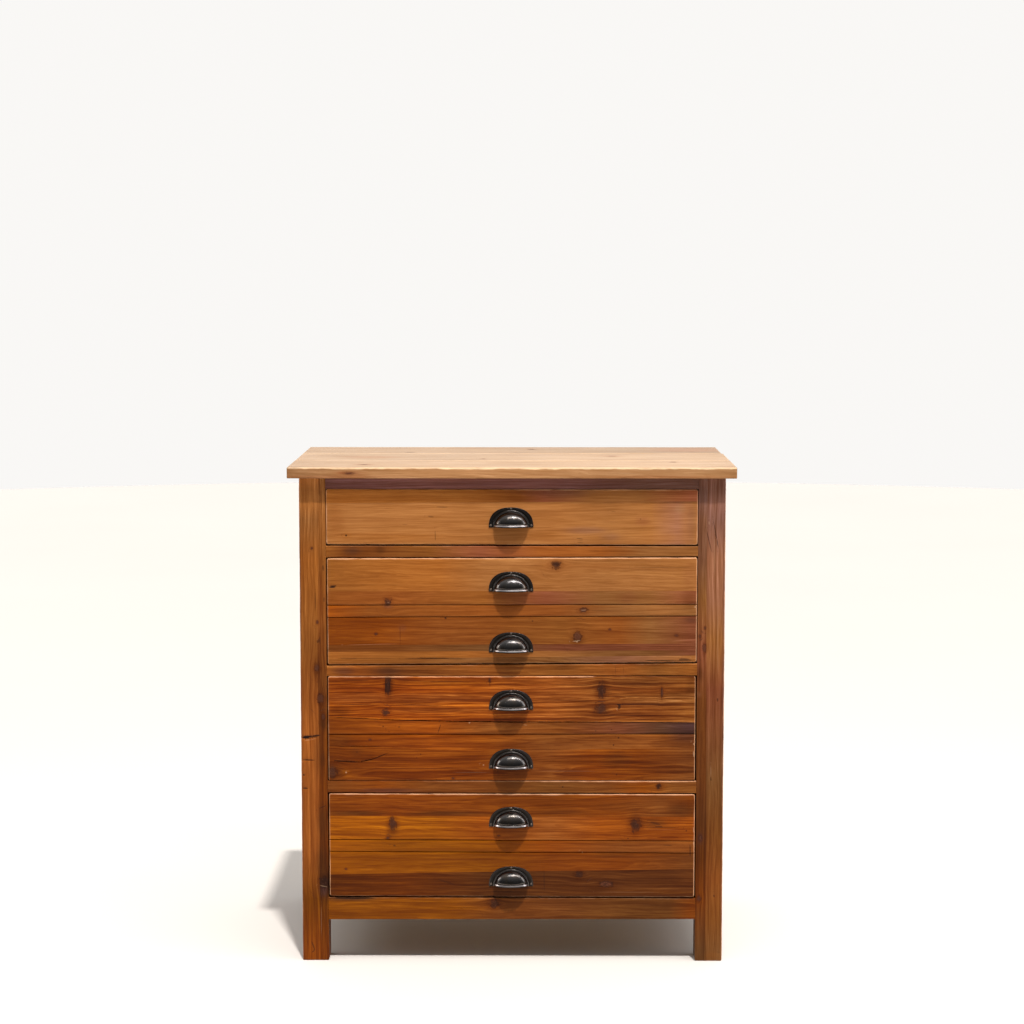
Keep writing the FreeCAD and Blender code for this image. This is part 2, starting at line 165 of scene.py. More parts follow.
class Prism:
    """A sawn board with rounded arrises: rings of points along s, with rows on the
    outer face that follow seams, scored lines and cracks."""

    def __init__(self, name, s_rng, a_lo, a_hi, n_lo, n_hi, to_xyz, da=2.7, ds=2.7, end_r=1.3,
                 radius=(1.5, 1.5, 1.0, 1.0), radius_var=0.35, lines=(), fine=(), side_rows=6, back_rows=6,
                 wobble=0.25, seed=1, corner=0.0, lift=None, side_lift=None, back_wobble=True):
        self.name, self.seed = name, seed
        s0, s1 = s_rng
        st = list(np.linspace(s0 + end_r, s1 - end_r, int(round((s1 - s0) / ds)) + 1))
        st += [x for x in fine if s0 + end_r < x < s1 - end_r]
        if corner:
            for k in (0.25, 0.5, 0.75, 1.0):
                st += [s0 + end_r + corner * k * 0.8, s1 - end_r - corner * k * 0.8]
        st = np.array(sorted(st))
        st = st[np.concatenate([[True], np.diff(st) > 0.12])]
        ph = np.radians([22.5, 45.0, 67.5, 90.0])
        e_s = end_r * np.sin(ph)
        e_d = end_r * (1 - np.cos(ph))
        s = np.concatenate([(s0 + end_r - e_s)[::-1], st, s1 - end_r + e_s])
        d = np.concatenate([e_d[::-1], np.zeros(len(st)), e_d])
        self.s_nom, self.inset = s, d
        wob = lambda k: wobble * fbm(s / 45.0, k * 7.3, seed=seed * 11 + k, octaves=3)
        A0 = a_lo(s) + np.abs(wob(1)) * (1 if wobble else 0)
        A1 = a_hi(s) - np.abs(wob(2)) * (1 if wobble else 0)
        rr = []
        for k in range(4):
            v = 1 + radius_var * fbm(s / 22.0, k * 5.1, seed=seed * 13 + k, octaves=3) * 1.6
            rr.append(np.maximum(radius[k] * v, end_r * 1.02))
        r_fl, r_fh, r_bh, r_bl = rr
        arc = np.radians([0, 22.5, 45.0, 67.5, 90.0])
        a_pts, n_pts, kind, wf, ws = [], [], [], [], []
        # outer face rows
        inner = np.sort(np.array([ln(s) for ln in lines]), axis=0) if len(lines) else []
        base = [A0 + r_fl] + list(inner) + [A1 - r_fh]
        for k in range(1, len(base)):
            base[k] = np.maximum(base[k], base[k - 1] + 0.02)
        for k in range(len(base) - 2, -1, -1):
            base[k] = np.minimum(base[k], base[k + 1] - 0.02)
        for k in range(len(base) - 1):
            m = max(1, int(round(np.mean(base[k + 1] - base[k]) / da)))
            for j in range(m):
                a_pts.append(base[k] + (base[k + 1] - base[k]) * (j / m))
                n_pts.append(n_hi - d)
                kind.append(0); wf.append(1.0); ws.append(0.0)

        def add_arc(ca, cn, r, ang, kd):
            for t in ang:
                a_pts.append(ca + np.maximum(r - d, 0.01) * math.cos(t))
                n_pts.append(cn + np.maximum(r - d, 0.01) * math.sin(t))
                kind.append(kd); wf.append(max(0.0, math.sin(t)) ** 2); ws.append(math.cos(t) ** 2 * (1 if math.cos(t) > 0 else -1))

        def add_line(aa, ab, na, nb, m, kd, w):
            for j in range(1, m):
                a_pts.append(aa + (ab - aa) * (j / m)); n_pts.append(na + (nb - na) * (j / m))
                kind.append(kd); wf.append(0.0); ws.append(w)

        add_arc(A1 - r_fh, n_hi - r_fh, r_fh, arc[::-1], 1)
        add_line(A1 - d, A1 - d, n_hi - r_fh, n_lo + r_bh, side_rows, 2, 1.0)
        add_arc(A1 - r_bh, n_lo + r_bh, r_bh, -arc, 3)
        add_line(A1 - r_bh, A0 + r_bl, n_lo + d, n_lo + d, back_rows, 4, 0.0)
        add_arc(A0 + r_bl, n_lo + r_bl, r_bl, math.pi + arc[::-1], 5)
        add_line(A0 + d, A0 + d, n_lo + r_bl, n_hi - r_fl, side_rows, 6, -1.0)
        add_arc(A0 + r_fl, n_hi - r_fl, r_fl, (math.pi - arc)[:-1], 7)
        a = np.array(a_pts).T
        n = np.array(n_pts).T
        S = np.repeat(s[:, None], a.shape[1], 1)
        self.kind = np.array(kind)
        self.K = np.repeat(self.kind[None], len(s), 0)
        self.s0, self.a0, self.n0 = S.copy(), a.copy(), n.copy()
        self.A0, self.A1 = A0, A1
        WF, WS = np.array(wf)[None], np.array(ws)[None]
        if lift is not None:
            n = n + WF * lift(S, np.clip(a, (A0 + r_fl * 0.2)[:, None], (A1 - r_fh * 0.2)[:, None]))
        if side_lift is not None:
            a = a + WS * side_lift(S, n)
        if corner:
            for sgn in (0, 1):
                for top in (0, 1):
                    es = (S - (s1 - corner)) / corner if sgn else ((s0 + corner) - S) / corner
                    ea = (a - (A1[:, None] - corner)) / corner if top else ((A0[:, None] + corner) - a) / corner
                    m = (es > 0) & (ea > 0)
                    es, ea = np.clip(es, 0, 1), np.clip(ea, 0, 1)
                    ns = es * np.sqrt(1 - ea * ea / 2)
                    na = ea * np.sqrt(1 - es * es / 2)
                    S = np.where(m, (s1 - corner) + ns * corner if sgn else (s0 + corner) - ns * corner, S)
                    a = np.where(m, (A1[:, None] - corner) + na * corner if top else (A0[:, None] + corner) - na * corner, a)
        self.S, self.a, self.n = S, a, n
        self.to_xyz = to_xyz

    def build(self, attrs, material, body, node):
        R, M = self.S.shape
        idx = np.arange(R * M).reshape(R, M)
        nx = np.roll(idx, -1, axis=1)
        quads = np.stack([idx[:-1], nx[:-1], nx[1:], idx[1:]], -1).reshape(-1, 4)
        V = np.stack(self.to_xyz(self.S, self.a, self.n), -1).reshape(-1, 3)
        ob = make_obj(self.name, V, quads, [list(idx[0])[::-1], list(idx[-1])], attrs, [material])
        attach(ob, body)
        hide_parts(node)
        return ob


def front_xyz(s, a, n):
    return s, -n, a


def post_xyz(s, a, n):
    return a, -n, s


def top_xyz(s, a, n):
    return s, -a, n


def side_rail_xyz(sign):
    return lambda s, a, n: (sign * n, s, a)


def side_panel_xyz(sign):
    return lambda s, a, n: (sign * n, a, s)


# ---------------------------------------------------------------- tones
def lin(r, g, b):
    return np.array([(c / 255 / 12.92) if c / 255 <= 0.04045 else ((c / 255 + 0.055) / 1.055) ** 2.4 for c in (r, g, b)])


TONES = {
    "honey": lin(184, 115, 58), "amber": lin(170, 98, 38), "orange": lin(160, 83, 6), "rust": lin(150, 80, 28),
    "brick": lin(128, 68, 40), "red": lin(130, 61, 8), "umber": lin(100, 51, 16), "plum": lin(90, 55, 48),
    "soot": lin(48, 33, 28), "pale": lin(212, 160, 108), "pink": lin(170, 108, 74), "mauve": lin(124, 82, 66),
    "top": lin(188, 150, 115), "bare": lin(214, 178, 132),
}
LIGHT = np.array((1.37, 1.26, 1.16))      # how bright the front faces are lit, so that a tone comes out as named


def tone_of(spec):
    name, k = spec if isinstance(spec, tuple) else (spec, 1.0)
    return TONES[name] * k


class Front:
    """Features given by image points on the front plane: s is x, a is z."""
    mm = 2.0

    @staticmethod
    def pt(u, v):
        return px(u, v)

    @staticmethod
    def rad(ru, rv):
        return ru * 2.0, rv * 2.0

    @staticmethod
    def at(u):
        return float(px(u, 700.0)[0])


class Upright(Front):
    """The same for a post: s is z, a is x."""

    @staticmethod
    def pt(u, v):
        x, z = px(u, v)
        return z, x

    @staticmethod
    def rad(ru, rv):
        return rv * 2.0, ru * 2.0

    @staticmethod
    def at(v):
        return float(px(512.0, v)[1])


class Flat:
    """Features given in millimetres along and across the grain."""
    mm = 1.0

    @staticmethod
    def pt(u, v):
        return np.asarray(u, float), np.asarray(v, float)

    @staticmethod
    def rad(ru, rv):
        return ru, rv

    @staticmethod
    def at(u):
        return float(u)


class Skin:
    """Colour, grain and mark data for each vertex of a board."""

    def __init__(self, pr, q, seams, staves, knots=(), marks=(), stains=(), seed=1, n_face=243.0, wear_and_highlight=1.0,
                 back="bare", back_mix=0.0, side_gain=0.82, wear_and_highlight_low=0.45, side_knots=(), side_marks=(), side_stains=(), wear_edge=1.0):
        s, a, n = pr.s0, pr.a0, pr.n0
        idx = np.zeros(s.shape, int)
        seam_a = []
        for c in seams:
            ca = c(s[:, 0])
            seam_a.append(ca)
            idx += (a > ca[:, None]).astype(int)
        ns = len(staves)
        idx = np.clip(idx, 0, ns - 1)
        rnd = np.random.RandomState(seed * 7 + 3)
        # grain coordinates
        ga = np.zeros_like(s); gb = np.zeros_like(s); gs = np.zeros_like(s)
        cont = np.zeros_like(s); strk = np.ones_like(s); tone = np.zeros(s.shape + (3,))
        smin, smax = s.min(), s.max()
        mid = (smin + smax) / 2
        for k, st in enumerate(staves):
            m = idx == k
            if not m.any():
                continue
            pa, pb = st.get("pith", (float(a[m].mean()) + rnd.uniform(-60, 60), rnd.uniform(18, 60)))
            sl = st.get("slope", rnd.uniform(-0.012, 0.012))
            slb = st.get("tilt", rnd.uniform(-0.02, 0.02))
            wav = st.get("wave", 3.0)
            g1 = a - pa - sl * (s - mid) - wav * fbm(s / 170.0, k * 9.1, seed=seed + k, octaves=2)
            g2 = (n_face - n) + pb + slb * (s - mid)
            ga[m], gb[m] = g1[m], g2[m]
            gs[m] = (s + 977.0 * k + seed * 313.0)[m]
            cont[m] = st.get("c", 0.6)
            stops = st["tone"]
            if isinstance(stops, (str, tuple)):
                stops = [(0, stops)]
            sp, cl = [], []
            for t in stops:
                u = t[0]
                val = tone_of(t[1] if isinstance(t[1], (str, tuple)) else t[1])
                sp.append(q.at(u)); cl.append(val)
            o = np.argsort(sp)
            sp, cl = np.array(sp)[o], np.array(cl)[o]
            for c in range(3):
                tone[..., c][m] = np.interp(s[m], sp, cl[:, c])
            streaky = st.get("b", 1.0)
            band = fbm(s / 260.0, a / 9.0, k * 3.3, seed=seed * 5 + k, octaves=3) * streaky
            cloud = fbm(s / 90.0, a / 26.0, k * 5.3, seed=seed * 7 + k, octaves=2)
            for c, (kb, kc) in enumerate(((0.17, 0.10), (0.22, 0.13), (0.24, 0.18))):
                tone[..., c][m] *= np.clip(1 + kb * band[m] + kc * cloud[m], 0.35, 1.8)
            strk[m] = streaky
        # knots
        kn = np.zeros(s.shape + (3,)); kn[..., 0] = 9.0; kn[..., 1] = 9.0
        best = np.full(s.shape, 3.6)
        for i, kt in enumerate(knots):
            u, v, ru, rv = kt[:4]
            pull = kt[4] if len(kt) > 4 else 1.0
            ks, ka = q.pt(u, v)
            rs, ra = q.rad(ru, rv)
            ds, dd = s - ks, a - ka
            near = (np.abs(ds) < 9 * rs + 40) & (np.abs(dd) < 9 * ra + 30)
            same = near
            R = ra * 1.1 * pull
            w = dd / np.sqrt(dd ** 2 + (0.45 * ra) ** 2) * R * np.exp(-np.abs(dd) / (2.4 * ra)) * np.exp(-(ds / (2.1 * rs + 3)) ** 2)
            ga = np.where(same, ga - w, ga)
            rho = np.sqrt((ds / rs) ** 2 + (dd / ra) ** 2)
            m = (rho < best) & (pr.K != 4)
            best = np.where(m, rho, best)
            kn[..., 0] = np.where(m, ds / rs, kn[..., 0])
            kn[..., 1] = np.where(m, dd / ra, kn[..., 1])
            kn[..., 2] = np.where(m, 3.0 * i + seed + (kt[5] if len(kt) > 5 else 0.5), kn[..., 2])
        # features of the edge face: along s and n
        edge_face = np.isin(pr.K, (1, 2, 3))
        for i, (su, sn, rs, rn, pull) in enumerate(side_knots):
            ds, dd = s - su, n - sn
            w = dd / np.sqrt(dd ** 2 + (0.45 * rn) ** 2) * rn * pull * np.exp(-np.abs(dd) / (2.4 * rn)) * np.exp(-(ds / (2.1 * rs + 3)) ** 2)
            gb = np.where(edge_face, gb + w, gb)
            rho = np.sqrt((ds / rs) ** 2 + (dd / rn) ** 2)
            m = (rho < best) & edge_face
            best = np.where(m, rho, best)
            kn[..., 0] = np.where(m, ds / rs, kn[..., 0])
            kn[..., 1] = np.where(m, dd / rn, kn[..., 1])
            kn[..., 2] = np.where(m, 71.3 + 3.0 * i + seed, kn[..., 2])
        for su, sn, rs, rn, col, op in side_stains:
            w = op * np.exp(-(((s - su) / rs) ** 2 + ((n - sn) / rn) ** 2) ** 1.5) * edge_face
            tone += (tone_of(col) - tone) * w[..., None]
        # stains
        for u, v, ru, rv, col, op in [t[:6] for t in stains]:
            ks, ka = q.pt(u, v)
            rs, ra = q.rad(ru, rv)
            edge = 1 + 0.30 * fbm(s / (rs * 0.5 + 2), a / (ra * 0.6 + 1.0), u, seed=seed + 3, octaves=2)
            rho = ((s - ks) / rs) ** 2 + ((a - ka) / ra) ** 2
            w = op * np.exp(-(rho * edge) ** 1.5) * (pr.K != 4)
            tone += (tone_of(col) - tone) * w[..., None]
        # marks: thin dashes, chips and spots
        mk = np.zeros(s.shape + (3,)); mk[..., 0] = 4.0
        best = np.full(s.shape, 1e9)
        for u0, v0, u1, v1, wid, amp in marks:
            p0 = np.array(q.pt(u0, v0), float).ravel(); p1 = np.array(q.pt(u1, v1), float).ravel()
            c = (p0 + p1) / 2
            L = np.linalg.norm(p1 - p0) / 2
            W = wid * q.mm / 2
            d = (p1 - p0) / (2 * L) if L > 1e-6 else np.array([1.0, 0.0])
            L = max(L, W)
            ds, dd = s - c[0], a - c[1]
            uu = (ds * d[0] + dd * d[1]) / L
            vv = (-ds * d[1] + dd * d[0]) / W
            ox = np.maximum(np.abs(uu) - 1, 0) * L
            oy = np.maximum(np.abs(vv) - 1, 0) * W
            dist = np.hypot(ox, oy)
            m = (dist < 6.0) & (dist < best) & (pr.K != 4)
            best = np.where(m, dist, best)
            mk[..., 0] = np.where(m, uu, mk[..., 0]); mk[..., 1] = np.where(m, vv, mk[..., 1]); mk[..., 2] = np.where(m, amp, mk[..., 2])
        for s_0, n_0, s_1, n_1, wid, amp in side_marks:
            L = max(abs(s_1 - s_0) / 2, wid / 2)
            uu = (s - (s_0 + s_1) / 2) / L
            vv = (n - (n_0 + n_1) / 2) / (wid / 2)
            dist = np.hypot(np.maximum(np.abs(uu) - 1, 0) * L, np.maximum(np.abs(vv) - 1, 0) * wid / 2)
            m = (dist < 6.0) & (dist < best) & edge_face
            best = np.where(m, dist, best)
            mk[..., 0] = np.where(m, uu, mk[..., 0]); mk[..., 1] = np.where(m, vv, mk[..., 1]); mk[..., 2] = np.where(m, amp, mk[..., 2])
        # pale wear and painted highlight on the arrises: weights for the top arris, the lower arris and the two ends,
        # each set per board
        A0, A1 = pr.A0[:, None], pr.A1[:, None]
        dlo, dhi = a - A0, A1 - a
        de = np.minimum(s - pr.s_nom.min(), pr.s_nom.max() - s)
        nz = 0.92 + 0.55 * fbm(s / 22.0, a / 60.0, seed=seed + 21, octaves=3)
        hi_k, lo_k, l_k, r_k = wear_and_highlight if isinstance(wear_and_highlight, tuple) else (wear_and_highlight, wear_and_highlight * wear_and_highlight_low, wear_and_highlight * .7, wear_and_highlight * .7)
        if isinstance(hi_k, list):
            hi_k = np.interp(s, [q.at(u) for u, _ in hi_k], [v for _, v in hi_k])
        w_hi = np.exp(-(np.maximum(dhi, 0) / 1.9) ** 2) * hi_k
        w_lo = np.exp(-(np.maximum(dlo, 0) / 1.3) ** 2) * lo_k
        w_e = np.exp(-(np.maximum(de, 0) / 1.7) ** 2) * np.where(s < mid, l_k, r_k)
        nz2 = 0.92 + 0.55 * fbm(a / 22.0, s / 60.0, seed=seed + 22, octaves=3)
        front = np.isin(pr.K, (0, 1, 7))
        wr = np.clip(np.maximum(np.maximum(w_hi * nz, w_lo * nz), w_e * nz2), 0, 1.2) * front
        sides = np.isin(pr.K, (2, 3, 5, 6))
        # edge faces get their own factor on the tone; above 1, as on the drawer fronts and rails, it is painted light
        # that lightens the faces inside the narrow gaps; below 1 the edge faces come out darker than the face
        tone = np.where(sides[..., None], tone * np.asarray(side_gain), tone)
        if back_mix:
            bk = np.isin(pr.K, (3, 4, 5))
            tone = np.where(bk[..., None], tone * (1 - back_mix) + TONES[back] * back_mix, tone)
        self.attrs = {
            "gc": np.stack([gs, ga, gb], -1).reshape(-1, 3),
            "tone": np.concatenate([np.clip(tone / LIGHT, 0.0, 1.0), np.ones(s.shape + (1,))], -1).reshape(-1, 4),
            "fx": np.stack([cont, wr, strk], -1).reshape(-1, 3),
            "kn": kn.reshape(-1, 3),
            "mk": mk.reshape(-1, 3),
        }


def px_line(pts):
    """Image points to (x, z) on the front plane."""
    out = []
    for u, v in pts:
        x, z = px(u, v)
        out.append((float(x), float(z)))
    return out


def seam(pts, seed, wave=0.0):
    """A seam through (s, a) points, and the two rows that bracket it."""
    mid = lambda s: curve(pts, s, wave, seed)
    return mid, [lambda s: mid(s) - 0.14, lambda s: mid(s) + 0.14]


def groove(pts, seed, half=1.1, wave=0.12):
    mid = lambda s: curve(pts, s, wave, seed)
    offs = (-2.6, -1.25, -1.0, -0.62, 0.0, 0.62, 1.0, 1.25, 2.6)
    return mid, [(lambda s, o=o: mid(s) + o * half / 1.25) for o in offs]


def crack(pts, width, depth, seed):
    """An open crack along the grain: its line, its width along s, and its rows."""
    p = np.array(sorted(pts), float)
    lo, hi = p[0, 0], p[-1, 0]
    mid = lambda s: curve(pts, s, 0.35, seed, 14.0)

    def half(s):
        t = np.clip((s - lo) / max(hi - lo, 1e-6), 0, 1)
        w = np.sin(np.pi * t) ** 0.6 * ((s > lo) & (s < hi))
        return width / 2 * w * (0.75 + 0.5 * noise(s / 5.0, seed * 1.0, seed=seed))

    rows = [(lambda s, k=k: mid(s) + np.sign(k) * (np.abs(k) * np.maximum(half(s), 0.12) + 0.08 * (np.abs(k) > 1))) for k in (-1.25, -0.7, 0, 0.7, 1.25)]
    return mid, half, depth, rows


def make_lift(grooves=(), cracks=(), dents=(), knots=(), q=Front, seed=1, depth=2.8, half=1.1, relief=0.16):
    """Height of the outer face: scored lines, cracks, dents, and a hand-planed surface."""
    def lift(S, A):
        s = S[:, 0]
        h = relief * fbm(S / 55.0, A / 16.0, seed=seed + 5, octaves=3)
        for g in grooves:
            x = np.abs(A - g(s)[:, None])
            h = h - depth * (1 - smooth(x, half * 0.55, half * 1.08)) - 0.35 * np.exp(-(x / (half * 1.5)) ** 2)
        for mid, hf, dep, _ in cracks:
            w = np.maximum(hf(s), 1e-4)[:, None]
            x = np.abs(A - mid(s)[:, None])
            on = smooth(hf(s), 0.05, 0.25)[:, None]
            h = h - on * dep * (1 - smooth(x, 0.55 * w, 1.15 * w))
        for u, v, ru, rv, dp in dents:
            ks, ka = q.pt(u, v)
            rs, ra = q.rad(ru, rv)
            h = h - dp * np.exp(-(((S - ks) / rs) ** 2 + ((A - ka) / ra) ** 2) ** 1.3)
        for kt in knots:
            u, v, ru, rv = kt[:4]
            ks, ka = q.pt(u, v)
            rs, ra = q.rad(ru, rv)
            rho = np.sqrt(((S - ks) / rs) ** 2 + ((A - ka) / ra) ** 2)
            h = h + 0.28 * np.exp(-rho ** 2) - 0.5 * np.exp(-((rho - 0.95) / 0.22) ** 2) * (0.6 + 0.6 * noise(S / 4.0, A / 3.0, seed=seed))
        return h
    return lift


# ---------------------------------------------------------------- materials
class Nodes:
    """Short hand for building a material's node tree."""

    def __init__(self, name):
        self.mat = bpy.data.materials.new(name)
        self.mat.use_nodes = True
        self.t = self.mat.node_tree
        self.t.nodes.clear()
        self.out = self.t.nodes.new("ShaderNodeOutputMaterial")
        self.bsdf = self.t.nodes.new("ShaderNodeBsdfPrincipled")
        self.t.links.new(self.bsdf.outputs[0], self.out.inputs[0])

    def put(self, node, socket, v):
        sk = node.inputs[socket]
        if isinstance(v, bpy.types.NodeSocket):
            self.t.links.new(v, sk)
        elif v is not None:
            sk.default_value = v

    def m(self, op, a, b=None, c=None, clamp=False):
        n = self.t.nodes.new("ShaderNodeMath")
        n.operation = op
        n.use_clamp = clamp
        for i, v in enumerate((a, b, c)):
            if v is not None:
                self.put(n, i, v)
        return n.outputs[0]

    def vm(self, op, a, b=None):
        n = self.t.nodes.new("ShaderNodeVectorMath")
        n.operation = op
        self.put(n, 0, a)
        if b is not None:
            self.put(n, 1, b)
        return n.outputs["Value"] if op == "LENGTH" else n.outputs[0]

    def sep(self, v):
        n = self.t.nodes.new("ShaderNodeSeparateXYZ")
        self.put(n, 0, v)
        return n.outputs

    def comb(self, x, y, z):
        n = self.t.nodes.new("ShaderNodeCombineXYZ")
        for i, v in enumerate((x, y, z)):
            self.put(n, i, v)
        return n.outputs[0]

    def attr(self, name):
        n = self.t.nodes.new("ShaderNodeAttribute")
        n.attribute_name = name
        return n

    def noise(self, vec, scale=1.0, detail=2.0, rough=0.5, dist=0.0):
        n = self.t.nodes.new("ShaderNodeTexNoise")
        self.put(n, "Vector", vec)
        n.inputs["Scale"].default_value = scale
        n.inputs["Detail"].default_value = detail
        n.inputs["Roughness"].default_value = rough
        n.inputs["Distortion"].default_value = dist
        return n.outputs["Fac"]

    def noise1(self, w, scale=1.0, detail=2.0):
        n = self.t.nodes.new("ShaderNodeTexNoise")
        n.noise_dimensions = "1D"
        self.put(n, "W", w)
        n.inputs["Scale"].default_value = scale
        n.inputs["Detail"].default_value = detail
        return n.outputs["Fac"]

    def rng(self, v, a, b, c=0.0, d=1.0, kind="SMOOTHSTEP"):
        n = self.t.nodes.new("ShaderNodeMapRange")
        n.interpolation_type = kind
        n.clamp = True if kind == "LINEAR" else n.clamp
        self.put(n, 0, v)
        for i, x in enumerate((a, b, c, d)):
            self.put(n, i + 1, x)
        return n.outputs[0]

    def mix(self, fac, a, b, mode="MIX"):
        n = self.t.nodes.new("ShaderNodeMix")
        n.data_type = "RGBA"
        n.blend_type = mode
        self.put(n, 0, fac)
        self.put(n, 6, a)
        self.put(n, 7, b)
        return n.outputs[2]

    def bump(self, h, dist, strength=1.0):
        n = self.t.nodes.new("ShaderNodeBump")
        n.inputs["Strength"].default_value = strength
        n.inputs["Distance"].default_value = dist
        self.put(n, "Height", h)
        self.put(self.bsdf, "Normal", n.outputs[0])

    def fin(self, **kw):
        for k, v in kw.items():
            self.put(self.bsdf, k.replace("_", " "), v)
        return self.mat


def c4(v, k=1.0):
    return (float(v[0]) * k, float(v[1]) * k, float(v[2]) * k, 1.0)


def wood(name, ring=0.30, fibre=0.34, gloss=0.40, wear_and_highlight_col=(0.68, 0.38, 0.22), spec=0.08, coat=0.0, blotch=0.22, ring_w=0.165,
         vec=None, tone=None, bump_d=0.00035):
    """Stained softwood under a satin lacquer. Rings come from the distance to the pith; the
    vertex data carries the grain direction, the tone, knots, marks, and wear with painted arris highlights."""
    N = Nodes(name)
    G = N.attr("gc").outputs["Vector"] if vec is None else vec(N)
    gs, ga, gb = N.sep(G)[:3]
    T = N.attr("tone").outputs["Color"] if tone is None else tone
    if vec is None:
        fx = N.sep(N.attr("fx").outputs["Vector"])
        contrast, wear_and_highlight, streaky = fx[0], fx[1], fx[2]
        kv = N.attr("kn").outputs["Vector"]
        mk = N.sep(N.attr("mk").outputs["Vector"])
    # warped distance from the pith
    slow = N.noise(N.vm("MULTIPLY", G, (0.0045, 0.035, 0.035)), 1.0, 2.0, 0.5)
    mid = N.noise(N.vm("MULTIPLY", G, (0.018, 0.16, 0.16)), 1.0, 2.0, 0.5)
    r = N.m("SQRT", N.m("ADD", N.m("MULTIPLY", ga, ga), N.m("MULTIPLY", gb, gb)))
    r = N.m("ADD", r, N.m("MULTIPLY", N.m("SUBTRACT", slow, 0.5), 11.0))
    r = N.m("ADD", r, N.m("MULTIPLY", N.m("SUBTRACT", mid, 0.5), 1.3))
    t = N.m("ADD", N.m("MULTIPLY", r, ring_w), N.m("MULTIPLY", N.noise1(r, 0.07, 1.0), 3.0))
    saw = N.m("FRACT", t)
    late = N.m("MULTIPLY", N.rng(saw, 0.42, 0.88), N.m("SUBTRACT", 1.0, N.rng(saw, 0.94, 1.0)))
    per = N.rng(N.noise1(N.m("FLOOR", t), 3.37, 0.0), 0.25, 0.75, 0.35, 1.0)
    late = N.m("MULTIPLY", late, per)
    # narrower rings between the strong ones
    saw2 = N.m("FRACT", N.m("ADD", N.m("MULTIPLY", t, 2.37), N.m("MULTIPLY", slow, 5.0)))
    late2 = N.m("MULTIPLY", N.rng(saw2, 0.25, 0.85), N.m("SUBTRACT", 1.0, N.rng(saw2, 0.9, 1.0)))
    late = N.m("MAXIMUM", late, N.m("MULTIPLY", late2, 0.42))
    fib = N.noise(N.vm("MULTIPLY", G, (0.012, 1.35, 1.35)), 1.0, 4.0, 0.62)
    fine = N.noise(N.vm("MULTIPLY", G, (0.011, 0.46, 0.46)), 1.0, 3.0, 0.75)
    strk = N.rng(N.noise(N.vm("MULTIPLY", G, (0.0045, 0.17, 0.17)), 1.0, 3.5, 0.62), 0.30, 0.70)
    blot = N.noise(N.vm("MULTIPLY", G, (0.014, 0.05, 0.05)), 1.0, 3.0, 0.55)
    dark = c4((0.52, 0.37, 0.22))
    amount = N.m("MULTIPLY", late, ring * 1.6) if vec is not None else N.m("MULTIPLY", N.m("MULTIPLY", late, contrast), ring * 2.4)
    col = N.mix(N.m("MINIMUM", amount, 0.92), T, N.mix(1.0, T, dark, "MULTIPLY"))
    # fibres, streaks and blotches: gain around 1
    g = N.m("ADD", 1.0, N.m("MULTIPLY", N.m("SUBTRACT", fib, 0.5), fibre * 2.6 if vec is not None else N.m("MULTIPLY", N.m("ADD", 1.9, N.m("MULTIPLY", streaky, 0.95)), fibre)))
    fg = fibre * 1.6 if vec is not None else N.m("MULTIPLY", N.m("ADD", 0.7, N.m("MULTIPLY", streaky, 1.25)), fibre)
    g = N.m("MULTIPLY", g, N.m("ADD", 1.0, N.m("MULTIPLY", N.m("SUBTRACT", fine, 0.5), fg)))
    sg = blotch * 1.1 if vec is not None else N.m("MULTIPLY", streaky, blotch * 1.25)
    g = N.m("MULTIPLY", g, N.m("ADD", 1.0, N.m("MULTIPLY", N.m("SUBTRACT", strk, 0.5), sg)))
    g = N.m("MULTIPLY", g, N.m("ADD", 1.0, N.m("MULTIPLY", N.m("SUBTRACT", blot, 0.5), blotch * 2.0 if vec is not None else N.m("MULTIPLY", N.m("ADD", 0.6, N.m("MULTIPLY", streaky, 0.7)), blotch))))
    # where the wood is darker it is also redder
    g = N.m("MAXIMUM", g, 0.25)
    dg = N.m("SUBTRACT", g, 1.0)
    col = N.mix(1.0, col, N.comb(g, N.m("MULTIPLY", g, N.m("ADD", 1.0, N.m("MULTIPLY", dg, 0.35))), N.m("MULTIPLY", g, N.m("ADD", 1.0, N.m("MULTIPLY", dg, 0.9)))), "MULTIPLY")
    # short dark pores and stained flecks
    fl = N.noise(N.vm("MULTIPLY", G, (0.05, 0.75, 0.75)), 1.0, 2.0, 0.5)
    fleck = N.rng(fl, 0.70, 0.78)
    col = N.mix(N.m("MULTIPLY", fleck, 0.35), col, N.mix(1.0, col, c4((0.50, 0.36, 0.30)), "MULTIPLY"))
    height = N.m("ADD", N.m("MULTIPLY", late, 0.35), N.m("MULTIPLY", fib, 0.45))
    rough = N.m("ADD", gloss, N.m("MULTIPLY", N.m("SUBTRACT", blot, 0.5), 0.22))
    rough = N.m("ADD", rough, N.m("MULTIPLY", N.m("SUBTRACT", fib, 0.5), 0.16))
    if vec is None:
